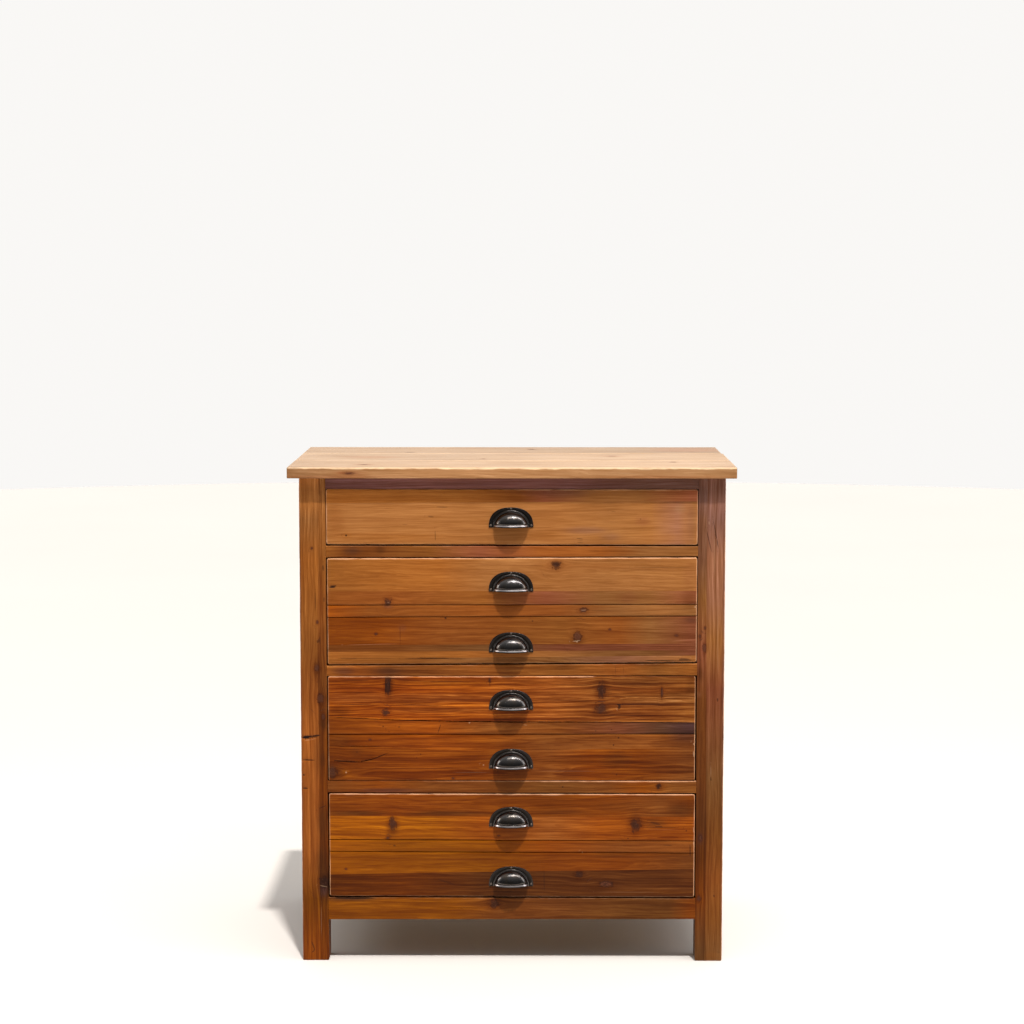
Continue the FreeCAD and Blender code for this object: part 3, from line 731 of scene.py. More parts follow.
        # knots
        ks = N.sep(kv)
        plan = N.comb(ks[0], ks[1], 0.0)
        jit = N.noise(N.vm("ADD", N.vm("MULTIPLY", kv, (1.3, 1.3, 0.0)), N.comb(0.0, 0.0, ks[2])), 1.0, 3.0, 0.65)
        rho = N.m("ADD", N.vm("LENGTH", plan), N.m("MULTIPLY", N.m("SUBTRACT", jit, 0.5), 1.5))
        core = N.m("SUBTRACT", 1.0, N.rng(rho, 0.42, 1.18))
        kblot = N.noise(N.vm("ADD", N.vm("MULTIPLY", kv, (2.2, 2.2, 0.0)), N.comb(0.0, 0.0, ks[2])), 1.0, 3.0, 0.6)
        bark = N.m("MULTIPLY", N.m("MULTIPLY", N.rng(rho, 0.55, 0.90), N.m("SUBTRACT", 1.0, N.rng(rho, 0.92, 1.30))), N.rng(kblot, 0.44, 0.60))
        halo = N.m("SUBTRACT", 1.0, N.rng(rho, 0.80, 2.3))
        kr = N.m("FRACT", N.m("MULTIPLY", rho, 2.1))
        kcol = N.mix(N.m("FRACT", ks[2]), c4(lin(124, 70, 46) / LIGHT), c4(lin(40, 19, 11) / LIGHT))
        kcol = N.mix(N.m("MULTIPLY", N.rng(kr, 0.1, 0.95), 0.30), kcol, c4(lin(50, 24, 15) / LIGHT))
        kcol = N.mix(N.m("MULTIPLY", N.rng(kblot, 0.50, 0.72), 0.35), kcol, c4(lin(112, 74, 56) / LIGHT))
        col = N.mix(N.m("MULTIPLY", halo, 0.50), col, N.mix(1.0, col, c4((0.62, 0.47, 0.42)), "MULTIPLY"))
        col = N.mix(N.m("MULTIPLY", core, 0.92), col, kcol)
        col = N.mix(N.m("MULTIPLY", bark, 0.60), col, c4(lin(40, 21, 14) / LIGHT))
        # marks: sign of the third value says dark or pale
        md = N.vm("LENGTH", N.comb(mk[0], mk[1], 0.0))
        mn = N.noise(N.vm("MULTIPLY", G, (0.35, 0.9, 0.9)), 1.0, 2.0, 0.6)
        md = N.m("ADD", md, N.m("MULTIPLY", N.m("SUBTRACT", mn, 0.5), 0.7))
        on = N.m("SUBTRACT", 1.0, N.rng(md, 0.70, 1.12))
        dk = N.m("MULTIPLY", on, N.m("MAXIMUM", mk[2], 0.0))
        pl = N.m("MULTIPLY", on, N.m("MAXIMUM", N.m("MULTIPLY", mk[2], -1.0), 0.0))
        col = N.mix(N.m("MINIMUM", dk, 1.0), col, c4(lin(42, 24, 17) / LIGHT))
        col = N.mix(N.m("MINIMUM", pl, 1.0), col, c4(lin(214, 170, 130) / LIGHT))
        # worn arrises and painted arris highlights: a brighter copy of the tone mixed with a pale colour
        wn = N.noise(N.vm("MULTIPLY", G, (0.10, 0.5, 0.5)), 1.0, 3.0, 0.6)
        wear_and_highlight_mix = N.m("MULTIPLY", N.rng(N.m("ADD", wear_and_highlight, N.m("MULTIPLY", N.m("SUBTRACT", wn, 0.5), 0.5)), 0.10, 1.05), 0.94)
        col = N.mix(wear_and_highlight_mix, col, N.mix(0.72, N.mix(1.0, T, c4((1.5, 1.5, 1.5)), "MULTIPLY"), c4(wear_and_highlight_col)))
        height = N.m("SUBTRACT", height, N.m("MULTIPLY", N.m("MAXIMUM", dk, bark), 0.9))
        rough = N.m("ADD", rough, N.m("MULTIPLY", N.m("MAXIMUM", dk, core), 0.12))
    N.bump(height, bump_d, 0.75)
    N.bsdf.inputs["Specular IOR Level"].default_value = spec
    N.bsdf.inputs["Coat Weight"].default_value = coat
    N.bsdf.inputs["Coat Roughness"].default_value = 0.22
    return N.fin(Base_Color=col, Roughness=N.m("MINIMUM", rough, 0.95))


def object_vec(order, seed, scale=1.0):
    """Grain coordinates in millimetres from the object's own coordinates; order says which axis runs along the grain."""
    def make(N):
        tc = N.t.nodes.new("ShaderNodeTexCoord")
        s = N.sep(N.vm("MULTIPLY", tc.outputs["Object"], (1000.0, 1000.0, 1000.0)))
        pick = {"x": s[0], "y": s[1], "z": s[2]}
        return N.comb(N.m("ADD", pick[order[0]], 311.0 * seed), N.m("ADD", pick[order[1]], 47.0 * seed), N.m("ADD", pick[order[2]], 61.0))
    return make


def bare_wood(name, order, seed, tone=TONES["bare"], ring=0.22):
    return wood(name, ring=ring, fibre=0.20, gloss=0.62, spec=0.25, coat=0.0, blotch=0.12, ring_w=0.22,
                vec=object_vec(order, seed), tone=c4(tone), bump_d=0.0003)


def ply_wood(name, order, seed):
    """Thin sheet with a rotary-cut face: broad soft cathedral bands and fine pores."""
    N = Nodes(name)
    G = object_vec(order, seed)(N)
    big = N.noise(N.vm("MULTIPLY", G, (0.0035, 0.014, 0.014)), 1.0, 2.0, 0.5)
    band = N.m("FRACT", N.m("MULTIPLY", N.m("ADD", N.m("MULTIPLY", big, 9.0), N.m("MULTIPLY", N.sep(G)[1], 0.010)), 1.0))
    late = N.m("MULTIPLY", N.rng(band, 0.35, 0.9), N.m("SUBTRACT", 1.0, N.rng(band, 0.93, 1.0)))
    fib = N.noise(N.vm("MULTIPLY", G, (0.03, 1.1, 1.1)), 1.0, 3.0, 0.6)
    base = c4(lin(210, 178, 136))
    col = N.mix(N.m("MULTIPLY", late, 0.45), base, c4(lin(176, 134, 90)))
    g = N.m("ADD", 0.86, N.m("MULTIPLY", fib, 0.28))
    col = N.mix(1.0, col, N.comb(g, g, g), "MULTIPLY")
    N.bump(N.m("ADD", N.m("MULTIPLY", late, 0.3), N.m("MULTIPLY", fib, 0.4)), 0.0002, 0.6)
    N.bsdf.inputs["Specular IOR Level"].default_value = 0.3
    return N.fin(Base_Color=col, Roughness=N.m("ADD", 0.52, N.m("MULTIPLY", fib, 0.16)))


def metal(name, base, brown, rough=0.24, rough_var=0.16, scale=120.0, bump_d=0.00012, cast=False):
    """Dark plate over a casting: browner and duller where it is handled, with fine pitting."""
    N = Nodes(name)
    tc = N.t.nodes.new("ShaderNodeTexCoord").outputs["Object"]
    big = N.noise(tc, scale * 0.5, 3.0, 0.6)
    small = N.noise(tc, scale * 5.0, 3.0, 0.65)
    pit = N.noise(tc, scale * 16.0, 2.0, 0.5)
    geo = N.t.nodes.new("ShaderNodeNewGeometry")
    point = N.rng(geo.outputs["Pointiness"], 0.50, 0.56)
    col = N.mix(N.rng(big, 0.42, 0.68), c4(base), c4(brown))
    col = N.mix(N.m("MULTIPLY", point, 0.55), col, c4(np.array(brown) * 2.6))
    g = N.m("ADD", 0.82, N.m("MULTIPLY", small, 0.36))
    col = N.mix(1.0, col, N.comb(g, g, g), "MULTIPLY")
    r = N.m("ADD", rough, N.m("MULTIPLY", N.m("SUBTRACT", big, 0.4), rough_var))
    if cast:
        # cast pulls: a darker plate on flange and step ring (painted shade for their dark reflection), a pale rubbed
        # colour with painted highlight on the lip band and ring, and near-black painted shade in the crease, under the
        # lip, inside the cup and in the corners
        fin = N.sep(N.attr("fin").outputs["Vector"])
        col = N.mix(fin[2], col, N.mix(1.0, col, c4((0.27, 0.26, 0.25)), "MULTIPLY"))
        wv = N.m("MULTIPLY", fin[0], N.rng(small, 0.25, 0.60, 0.45, 1.0))
        col = N.mix(wv, col, c4((0.46, 0.42, 0.42)))
        col = N.mix(fin[1], col, c4((0.012, 0.009, 0.007)))
        r = N.m("ADD", r, N.m("ADD", N.m("MULTIPLY", fin[0], 0.10), N.m("MULTIPLY", fin[1], 0.35)))
    N.bump(N.m("ADD", N.m("MULTIPLY", small, 0.5), N.m("MULTIPLY", N.rng(pit, 0.62, 0.75), -0.5)), bump_d, 0.5)
    N.bsdf.inputs["Metallic"].default_value = 1.0
    return N.fin(Base_Color=col, Roughness=r)


FRONT = wood("front_wood")
FRAME = wood("frame_wood", ring=0.26, fibre=0.36)
TOPW = wood("top_wood", ring=0.20, fibre=0.22, gloss=0.42, wear_and_highlight_col=(0.72, 0.50, 0.30), blotch=0.16)
PANEL = wood("panel_wood", ring=0.28)
NICKEL = metal("dark_nickel", (0.082, 0.078, 0.078), (0.085, 0.070, 0.058), rough=0.18, rough_var=0.10, cast=True)
PINS = metal("dark_pin_metal", (0.075, 0.068, 0.062), (0.11, 0.085, 0.07), rough=0.36)
STEEL = metal("zinc_steel", (0.42, 0.41, 0.39), (0.36, 0.33, 0.29), rough=0.35)
# ---------------------------------------------------------------- drawer fronts
def line2(l, r):
    return lambda s: l + (r - l) * (s + 375.0) / 750.0


DRAWER = {1: ((858.1, 857.5), (970.0, 969.4)), 2: ((613.3, 618.9), (829.6, 832.0)),
          3: ((374.8, 375.4), (588.8, 590.3)), 4: ((134.6, 133.5), (347.8, 347.2))}


def drawer_front(k, seams, staves, grooves=(), cracks=(), knots=(), marks=(), stains=(), dents=(), radius=(1.6, 1.9, 1.0, 1.0), wear_and_highlight=(1.0, .3, .5, .8), seed=1, corner=4.0,
                 half=(-373.6, 373.8)):
    lo, hi = DRAWER[k]
    order, sm = [], []
    for i, pts in enumerate(seams):
        mid, rw = seam(px_line(pts), seed * 20 + i)
        sm.append(mid)
        order.append((float(mid(np.zeros(1))[0]), rw))
    gr = []
    for i, pts in enumerate(grooves):
        mid, rw = groove(pts, seed * 20 + 10 + i)
        gr.append(mid)
        sm.append(mid)
        order.append((float(mid(np.zeros(1))[0]), rw))
    ck = []
    for i, (pts, w, dep) in enumerate(cracks):
        c = crack(px_line(pts), w, dep, seed * 20 + 15 + i)
        ck.append(c)
        order.append((float(c[0](np.zeros(1))[0]), c[3]))
    order.sort(key=lambda t: t[0])
    lines = [ln for _, rw in order for ln in rw]
    pr = Prism("drawer_%d_face" % k, half, line2(*lo), line2(*hi), 221.0, 243.0, front_xyz, da=2.6, ds=2.8,
               radius=radius, radius_var=0.5, lines=lines, side_rows=5, back_rows=14, wobble=0.28, seed=seed, corner=corner,
               lift=make_lift(gr, ck, dents, knots, seed=seed))
    sk = Skin(pr, Front, sm, staves, knots, marks, stains, seed=seed, wear_and_highlight=wear_and_highlight, back_mix=0.8, side_gain=1.25)
    return pr.build(sk.attrs, FRONT, "drawer_%d" % k, "drawer_%d_front" % k)


drawer_front(
    1, seams=[[(326, 502.9), (697, 501.4)]],
    staves=[
        {"tone": [(330, ("honey", 0.90)), (440, ("honey", 0.95)), (480, ("honey", 0.90)), (560, ("honey", 0.95)), (610, ("honey", 0.80)), (650, ("honey", 0.90)), (676, ("pink", 1.00)), (692, ("honey", 0.90))], "c": .5, "b": .75, "pith": (905, 26), "slope": .010},
        {"tone": [(330, ("amber", 1.35)), (450, ("amber", 1.15)), (520, ("rust", 1.00)), (545, ("brick", 1.90)), (590, ("honey", 1.00)), (640, ("honey", 0.95)), (690, ("brick", 2.20))], "c": .55, "b": .85, "pith": (985, 30), "slope": -.006}],
    marks=[(436, 507, 448, 507.2, .9, .55), (428, 516.5, 434, 517, 1.6, .35), (435, 530.5, 435.4, 541, 1.0, .5), (346, 535.5, 346.4, 535.5, 2.2, .8),
           (576, 538.4, 583, 539, 1.0, .5), (577, 542.6, 584, 542.8, .9, .45), (640, 519, 641, 519.4, 1.6, .3), (402, 524.5, 408, 524.7, .7, .3), (611, 511.5, 616, 511.6, .7, .3)],
    stains=[(346, 535.5, 5, 4, ("amber", 1.0), .5), (680, 509, 6, 4, ("pale", .75), .22), (643, 521, 7, 4.5, ("brick", 1.35), .4), (585, 530.5, 22, 3.5, ("mauve", 1.2), .45),
            (560, 492, 32, 6, ("plum", 1.25), .5), (611, 537, 10, 4, ("mauve", 1.1), .3), (335, 520, 9, 18, ("rust", 1.05), .3), (660, 538, 25, 5, ("honey", 1.1), .4), (692, 523, 5, 22, ("mauve", 1.15), .35),
            (390, 537, 60, 5, ("amber", 1.0), .55), (545, 536, 22, 6, ("amber", .92), .4)],
    dents=[(431, 516.7, 2.5, 1.2, .5), (540, 493, 1.6, 1.0, .3)], wear_and_highlight=([(326, .6), (480, .55), (540, .95), (697, 1.15)], .6, .95, 1.05), half=(-373.3, 373.3), seed=11)

drawer_front(
    2, seams=[[(326, 658.6), (417, 658.0), (697, 655.5)], [(326, 651.8), (697, 650.2)], [(326, 645.0), (697, 643.6)], [(326, 591.4), (697, 590.9)]],
    grooves=[[(-375, 709.4), (375, 713.0)], [(-375, 734.2), (375, 736.6)]],
    staves=[
        {"tone": [(330, ("amber", 0.85)), (400, ("amber", 0.70)), (484, ("honey", 0.55)), (560, ("honey", 0.50)), (620, ("pink", 0.75)), (690, ("honey", 0.90))], "c": .8},
        {"tone": [(330, ("amber", 1.00)), (400, ("amber", 0.80)), (470, ("amber", 1.00)), (560, ("honey", 0.80)), (600, ("honey", 0.50)), (650, ("honey", 0.45)), (690, ("brick", 0.90))], "c": .6},
        {"tone": [(330, ("rust", 0.65)), (400, ("rust", 0.60)), (484, ("honey", 0.40)), (560, ("brick", 0.95)), (690, ("brick", 1.05))], "c": .9},
        {"tone": [(330, ("red", 1.10)), (380, ("red", 1.15)), (440, ("rust", 0.95)), (484, ("rust", 0.90)), (560, ("amber", 0.70)), (620, ("rust", 0.95)), (650, ("honey", 0.60)), (690, ("brick", 1.10))], "c": .9, "b": 1.1, "pith": (672, 30), "slope": .004},
        {"tone": [(330, ("red", 1.90)), (370, ("rust", 0.95)), (440, ("rust", 1.00)), (484, ("rust", 1.15)), (560, ("umber", 2.20)), (620, ("honey", 0.65)), (660, ("honey", 0.80)), (690, ("honey", 0.65))], "c": .6, "b": .8, "pith": (700, 30)},
        {"tone": [(330, ("rust", 0.95)), (400, ("umber", 2.50)), (484, ("amber", 0.85)), (545, ("brick", 1.40)), (600, ("honey", 0.55)), (650, ("honey", 0.65)), (690, ("brick", 1.35))], "c": .6, "b": .8, "pith": (745, 25)},
        {"tone": [(330, ("amber", 0.80)), (380, ("amber", 1.00)), (440, ("amber", 1.10)), (484, ("honey", 0.90)), (540, ("honey", 0.90)), (600, ("honey", 0.80)), (690, ("honey", 0.90))], "c": .55, "b": .75, "pith": (792, 24), "slope": -.008}],
    knots=[(387.8, 602.8, 3.8, 4.0, .7, .60), (556, 565, 4.6, 4.4, 1.0, .90), (583.4, 610, 3.8, 2.6, .8, .45), (577.5, 636.5, 4.4, 5.4, .6, .50), (376, 634, 1.6, 1.4, .4, .60), (676.5, 635.5, 1.8, 1.3, .4), (609.8, 629.4, 1.5, 1.0, .4)],
    cracks=[([(417, 658.0), (460, 658.1)], 1.7, 2.2), ([(641, 660.4), (673, 660.9)], 1.4, 2.0)],
    marks=[(385.2, 599.8, 387.6, 604.4, 1.1, .75), (391.2, 599.6, 389.0, 604.6, 1.1, .6), (387.2, 603.2, 389.4, 602.6, 1.0, -.35), (579, 609.2, 583, 607.8, .9, .7), (583, 607.8, 588, 609.0, .9, .55), (580, 611.8, 586.5, 612.0, .8, .55), (581, 610.3, 586, 609.9, .7, -.35), (572.6, 641.4, 580.4, 640.4, 1.0, -.5), (345, 645.0, 399, 643.8, .5, -.2), (330, 658.1, 400, 658.3, .6, .5), (400, 658.4, 470, 659.0, .8, .6), (545, 659.8, 640, 660.8, .7, .4), (640, 660.6, 694, 660.8, .9, .6), (329, 587.2, 336, 586.8, 1.9, 1.0), (632, 567.2, 696, 567.5, .6, .42), (445, 618, 446, 618.4, 2.4, .8), (695, 606.6, 695.6, 607.4, 1.8, -.5), (532, 620.6, 533, 621.4, 1.6, .7),
           (400, 625, 400.3, 645, 1.0, .35), (576, 641.4, 577.6, 642, 1.8, -.45), (582, 660.3, 583, 660.9, 1.8, -.35), (672.6, 661.6, 674, 662, 1.6, -.3), (681, 658.5, 695, 659.5, 1.0, .6), (684, 657.2, 692, 657.4, .8, -.2),
           (331, 584.7, 470, 584.9, .45, .18), (588, 610.5, 620, 611, .7, .4), (331, 658.7, 415, 658.2, .6, .45), (620, 600.5, 634, 600.7, .6, .3)],
    stains=[(556, 565, 22, 6, ("rust", .95), .5), (600, 566, 26, 4, ("rust", 1.05), .35), (552, 598, 18, 6, ("brick", 1.2), .35), (628, 598, 10, 6, ("brick", 1.2), .3), (690, 600, 8, 9, ("umber", 1.2), .5),
            (691, 620, 7, 3, ("soot", 1.3), .35), (402.5, 628, 4, 4, ("brick", .95), .4), (387.8, 606.5, 4, 2, ("pink", 1.0), .35), (577, 641, 8, 5, ("umber", 1.0), .5), (345, 612, 20, 4, ("umber", 1.2), .3),
            (578, 650, 26, 3, ("brick", .9), .3), (520, 575, 60, 8, ("honey", .92), .25), (690, 575, 7, 14, ("brick", 1.3), .2), (352, 640, 22, 5, ("red", .85), .4)],
    dents=[(387.8, 601, 3.0, 2.0, .8), (445, 618, 1.4, 1.2, .8), (576, 641.7, 1.6, 1.2, .6), (695.4, 607, 1.6, 1.4, .8), (556, 565, 2.2, 2.2, .5)],
    radius=(1.6, 2.8, 1.0, 1.0), wear_and_highlight=(1.4, .55, .9, 1.05), half=(-372.3, 373.0), seed=12)

drawer_front(
    3, seams=[[(326, 747.0), (383, 746.8), (398, 747.8), (453, 750.5), (490, 751.1), (600, 749.2), (697, 748.0)], [(326, 716.7), (393, 719.8), (465, 721.6), (697, 722.5)]],
    grooves=[[(-375, 469.3), (375, 471.3)]],
    staves=[
        {"tone": [(330, ("red", 0.95)), (380, ("red", 1.20)), (430, ("red", 1.35)), (484, ("red", 1.20)), (550, ("rust", 0.90)), (590, ("red", 1.25)), (640, ("red", 1.00)), (690, ("umber", 1.50))], "c": 1.4, "b": 2.3, "pith": (392, 34), "slope": .006},
        {"tone": [(330, ("red", 0.90)), (365, ("red", 1.30)), (430, ("red", 1.75)), (484, ("red", 1.30)), (545, ("rust", 0.75)), (650, ("rust", 0.90)), (690, ("umber", 1.45))], "c": 1.0, "b": 1.9, "pith": (455, 30)},
        {"tone": [(330, ("red", 1.10)), (365, ("red", 1.30)), (430, ("red", 1.90)), (484, ("rust", 0.85)), (528, ("rust", 0.90)), (560, ("rust", 0.85)), (620, ("brick", 1.00)), (660, ("pink", 0.30)), (690, ("plum", 0.80))], "c": 1.0, "b": 1.7, "pith": (490, 28)},
        {"tone": [(330, ("red", 1.65)), (370, ("red", 1.95)), (420, ("red", 2.20)), (470, ("red", 1.90)), (550, ("rust", 1.45)), (585, ("rust", 1.00)), (650, ("rust", 1.00)), (690, ("amber", 0.90))], "c": 2.0, "b": 3.2, "pith": (545, 16), "slope": .012, "wave": 1.5}],
    knots=[(388, 685.5, 2.6, 9.6, .25, .85), (385.8, 712.5, 4.2, 3.4, .5, .72), (601.5, 690.5, 4.0, 8.0, .28, .85), (601, 709, 6.0, 5.0, .4, .70), (489.7, 679.5, 1.2, 2.0, .3), (332, 771.8, 5.0, 6.4, .9, .65), (661.8, 693, 1.4, 5.0, .25), (370, 739.6, 1.5, 1.0, .4), (453.3, 778.2, 1.6, 1.0, .3)],
    cracks=[([(326, 716.9), (393, 719.9), (465, 721.7), (560, 722.2), (697, 722.4)], 2.4, 2.9), ([(339, 746.3), (383, 746.4)], 1.5, 2.0), ([(336, 761.5), (361, 761.8), (373, 759), (388, 753)], 1.7, 1.8)],
    marks=[(616.4, 704.5, 621.8, 704.8, 1.5, .9), (619.8, 705, 618.6, 709.6, 2.1, .9), (616.0, 707.4, 617.4, 710.6, .8, -.3), (326, 716.9, 393, 719.9, .9, .45), (393, 719.9, 440, 721.2, 1.3, .8), (440, 721.2, 560, 722.2, 1.2, .75), (560, 722.2, 697, 722.4, .9, .6), (337, 761.4, 361, 761.8, 1.0, .75), (361, 761.8, 373, 759.2, 1.1, .9), (373, 759.2, 387, 753.3, .9, .85), (386.0, 675, 385.2, 696, 1.3, .85), (390.8, 674, 388.6, 694, 1.0, .8), (389.7, 674.2, 389.8, 675.6, 2.2, .9), (489.7, 677, 489.9, 687, 1.0, .6), (468.4, 722.4, 470, 723, 2.0, -.4), (441, 723.6, 437.6, 734, .8, .75), (382.6, 726.3, 383.6, 726.7, 1.6, .7), (398.6, 726.8, 399.6, 727.2, 1.5, .7),
           (388.6, 731.6, 389.6, 732, 1.4, .6), (524, 724.8, 527, 725.2, .8, -.3), (595.4, 730.8, 596.2, 731.2, 1.4, .6), (611.2, 729.5, 612, 729.9, 1.4, .6), (600, 690, 640, 690.3, .7, .4), (606, 696.4, 650, 696.7, .7, .45),
           (598, 704, 668, 704.3, 1.0, .6), (600, 715.4, 650, 715.7, .8, .45), (619, 704.6, 620, 709, 2.6, .6), (620.6, 706, 621.4, 707, 1.0, -.4), (420.3, 754, 421, 754.4, 1.4, .6), (416, 757.6, 416.8, 758, 1.3, .55),
           (356, 752, 358, 752, 2.2, .3), (338, 768.8, 490, 768.6, .6, .40), (453, 772.4, 490, 772.4, .6, -.12), (345.8, 772.2, 346.4, 772.6, 1.8, -.45), (483, 764.8, 484, 765.2, 1.6, -.35), (618, 737.6, 619, 738, 2.0, .7), (613, 744.8, 614, 745.2, 1.8, .7),
           (616.1, 774.5, 616.9, 774.9, 1.6, .7), (534, 771, 600, 771.2, .7, -.10), (693.4, 743.6, 694, 744.2, 1.6, -.5), (693.5, 751, 693.8, 757, 1.3, -.4), (661.5, 686, 662, 701, .9, .55), (487, 681, 492, 682, 1.2, .5),
           (338, 680.2, 370, 680.6, .8, .5), (396, 681, 470, 681.6, .9, .5), (332, 704.5, 380, 704.8, 1.1, .55), (396, 704.6, 448, 705.6, 1.0, .5), (545, 684.6, 590, 684.9, .8, .45), (545, 700.5, 594, 700.9, .9, .4)],
    stains=[(655, 677.5, 42, 3, ("umber", .8), .5), (692, 690, 6, 16, ("umber", 1.15), .5), (601, 690, 9, 12, ("umber", .8), .5), (602, 710.5, 9, 6, ("umber", .75), .5), (583, 724.8, 60, 2.6, ("umber", .95), .5),
            (684, 733, 14, 9, ("plum", .72), .5), (341, 741, 12, 6, ("umber", .85), .35), (356, 751, 6, 5, ("umber", .95), .35), (616, 759.5, 14, 8, ("umber", .75), .5),
            (346, 772.4, 4, 4, ("orange", .8), .5), (335, 772, 9, 8, ("umber", .62), .5), (389, 685, 4.5, 13, ("umber", .7), .75), (430, 682, 120, 4.5, ("red", .98), .5), (640, 681, 55, 4.5, ("umber", 1.35), .6), (338, 712, 14, 5, ("red", .85), .7), (356, 698, 34, 5.0, ("rust", 1.35), .85), (440, 698, 60, 4.4, ("rust", 1.30), .85), (678, 697, 22, 5, ("honey", .85), .7), (452, 683, 34, 2.6, ("red", .95), .6), (640, 683, 30, 3.0, ("umber", 1.3), .6), (440, 710, 60, 3.6, ("rust", 1.18), .6), (650, 701, 34, 3.4, ("honey", .85), .6), (565, 697, 26, 6, ("rust", 1.15), .6),
            (410, 703, 34, 3, ("umber", 1.0), .4), (640, 684, 20, 4, ("umber", 1.0), .35), (640, 697, 30, 3.5, ("amber", .75), .45), (565, 762, 60, 5, ("red", .85), .5)],
    dents=[(389.7, 674.7, 2.6, 2.0, 1.5), (391, 684, 2.2, 5.0, .6), (601, 708, 3.0, 2.4, .7), (619.5, 706.8, 1.6, 2.2, .8), (331, 770, 3.0, 4.0, .8), (370, 739.6, 1.2, 1.0, .5)],
    wear_and_highlight=([(326, 1.1), (592, 1.1), (597, .2), (697, .2)], .25, .7, 1.0), half=(-372.4, 371.4), seed=13)

drawer_front(
    4, seams=[[(326, 874.6), (435, 872.4), (697, 869.2)], [(326, 815.9), (697, 816.9)]],
    grooves=[[(-375, 227.4), (375, 224.8)], [(-375, 252.1), (375, 249.9)]],
    staves=[
        {"tone": [(330, ("red", 0.50)), (400, ("red", 0.80)), (484, ("umber", 0.85)), (620, ("umber", 1.00)), (690, ("umber", 1.00))], "c": 1.3, "b": 2.0, "pith": (120, 26)},
        {"tone": [(330, ("orange", 0.90)), (484, ("orange", 0.70)), (550, ("red", 1.00)), (620, ("red", 1.10)), (690, ("rust", 0.60))], "c": .8, "b": 1.1, "pith": (196, 30), "slope": .006},
        {"tone": [(330, ("orange", 1.10)), (400, ("orange", 0.75)), (484, ("orange", 0.85)), (550, ("red", 1.40)), (620, ("rust", 0.90)), (690, ("rust", 0.95))], "c": .6, "b": 1.1},
        {"tone": [(330, ("orange", 1.15)), (370, ("orange", 1.20)), (430, ("orange", 1.00)), (484, ("red", 1.50)), (550, ("rust", 1.15)), (600, ("red", 1.55)), (632, ("red", 1.30)), (690, ("red", 1.50))], "c": 1.0, "b": 1.9, "pith": (262, 22), "slope": -.01, "wave": 1.5},
        {"tone": [(330, ("red", 1.00)), (400, ("red", 1.35)), (460, ("red", 1.10)), (550, ("red", 0.90)), (620, ("red", 1.20)), (660, ("rust", 0.75)), (690, ("red", 0.95))], "c": 1.1, "b": 1.6, "pith": (330, 26)}],
    knots=[(392.5, 823.5, 4.0, 6.4, .45, .70), (388, 838, 2.0, 1.6, .5), (635.5, 825.5, 5.0, 6.4, .42, .80), (579.2, 874.5, 3.8, 3.2, 1.1, .85), (606, 884, 6.4, 3.0, .5, .30), (498.8, 835.7, 1.6, 1.0, .4), (346, 869, 1.4, 1.0, .3)],
    marks=[(344, 797, 368, 797.4, .9, .3), (393, 845.4, 396, 845.8, 1.4, .65), (663, 845.2, 673, 845.6, .9, .5), (640, 827.3, 681, 827.6, .9, .6), (642, 829.4, 680, 829.6, .8, -.12), (627.6, 838.2, 628.4, 838.6, 1.5, .7),
           (686, 830.6, 686.7, 831, 1.6, .7), (582, 852.2, 582.8, 852.7, 1.6, -.35), (437, 879, 455, 884.6, 2.2, .3), (544, 870, 544.4, 892, 1.6, .3), (596, 892, 663, 892.3, 1.0, -.08), (690, 844, 690.2, 858, 1.1, .7),
           (693.4, 827, 693.8, 833, 1.1, -.4), (693.5, 842, 693.8, 846, 1.1, -.4), (598, 881.4, 607, 884.2, .9, .6), (607, 884.2, 598, 887, .9, .5), (604, 881, 614, 884.2, .9, .5), (614, 884.4, 604, 887.6, .9, .5), (650, 822, 661, 825, 2.4, .45)],
    stains=[(357, 813.2, 27, 2.8, ("umber", .75), .8), (449, 813.2, 38, 2.8, ("umber", .8), .8), (682, 810, 15, 7, ("umber", .85), .75), (620, 806, 30, 6, ("umber", .95), .4), (655, 823, 12, 5, ("umber", .85), .6), (612, 855, 22, 3.2, ("umber", .9), .5),
            (470, 859, 45, 2.2, ("red", .85), .5), (393, 828, 6, 9, ("umber", .8), .5), (636, 822, 8, 8, ("umber", .85), .5), (688, 880, 10, 12, ("umber", 1.3), .4), (640, 892, 40, 2, ("orange", .6), .4), (350, 832, 24, 4, ("orange", .95), .4),
            (470, 834, 26, 4, ("red", .95), .4), (560, 812, 30, 3, ("umber", 1.05), .4), (345, 890, 20, 5, ("red", .75), .4)],
    dents=[(388, 838, 1.4, 1.4, .7), (392, 821, 3.0, 3.0, .6), (635.5, 824, 3.2, 4.0, .6), (579.2, 874.5, 2.2, 2.0, .6), (582.2, 852.4, 1.2, 1.0, .7), (693.7, 830, 1.0, 3.5, .6)],
    radius=(1.6, 2.9, 1.0, 1.0), wear_and_highlight=([(326, 1.1), (370, 1.5), (697, 1.5)], .7, 1.05, 1.25), half=(-371.8, 372.1), seed=14)


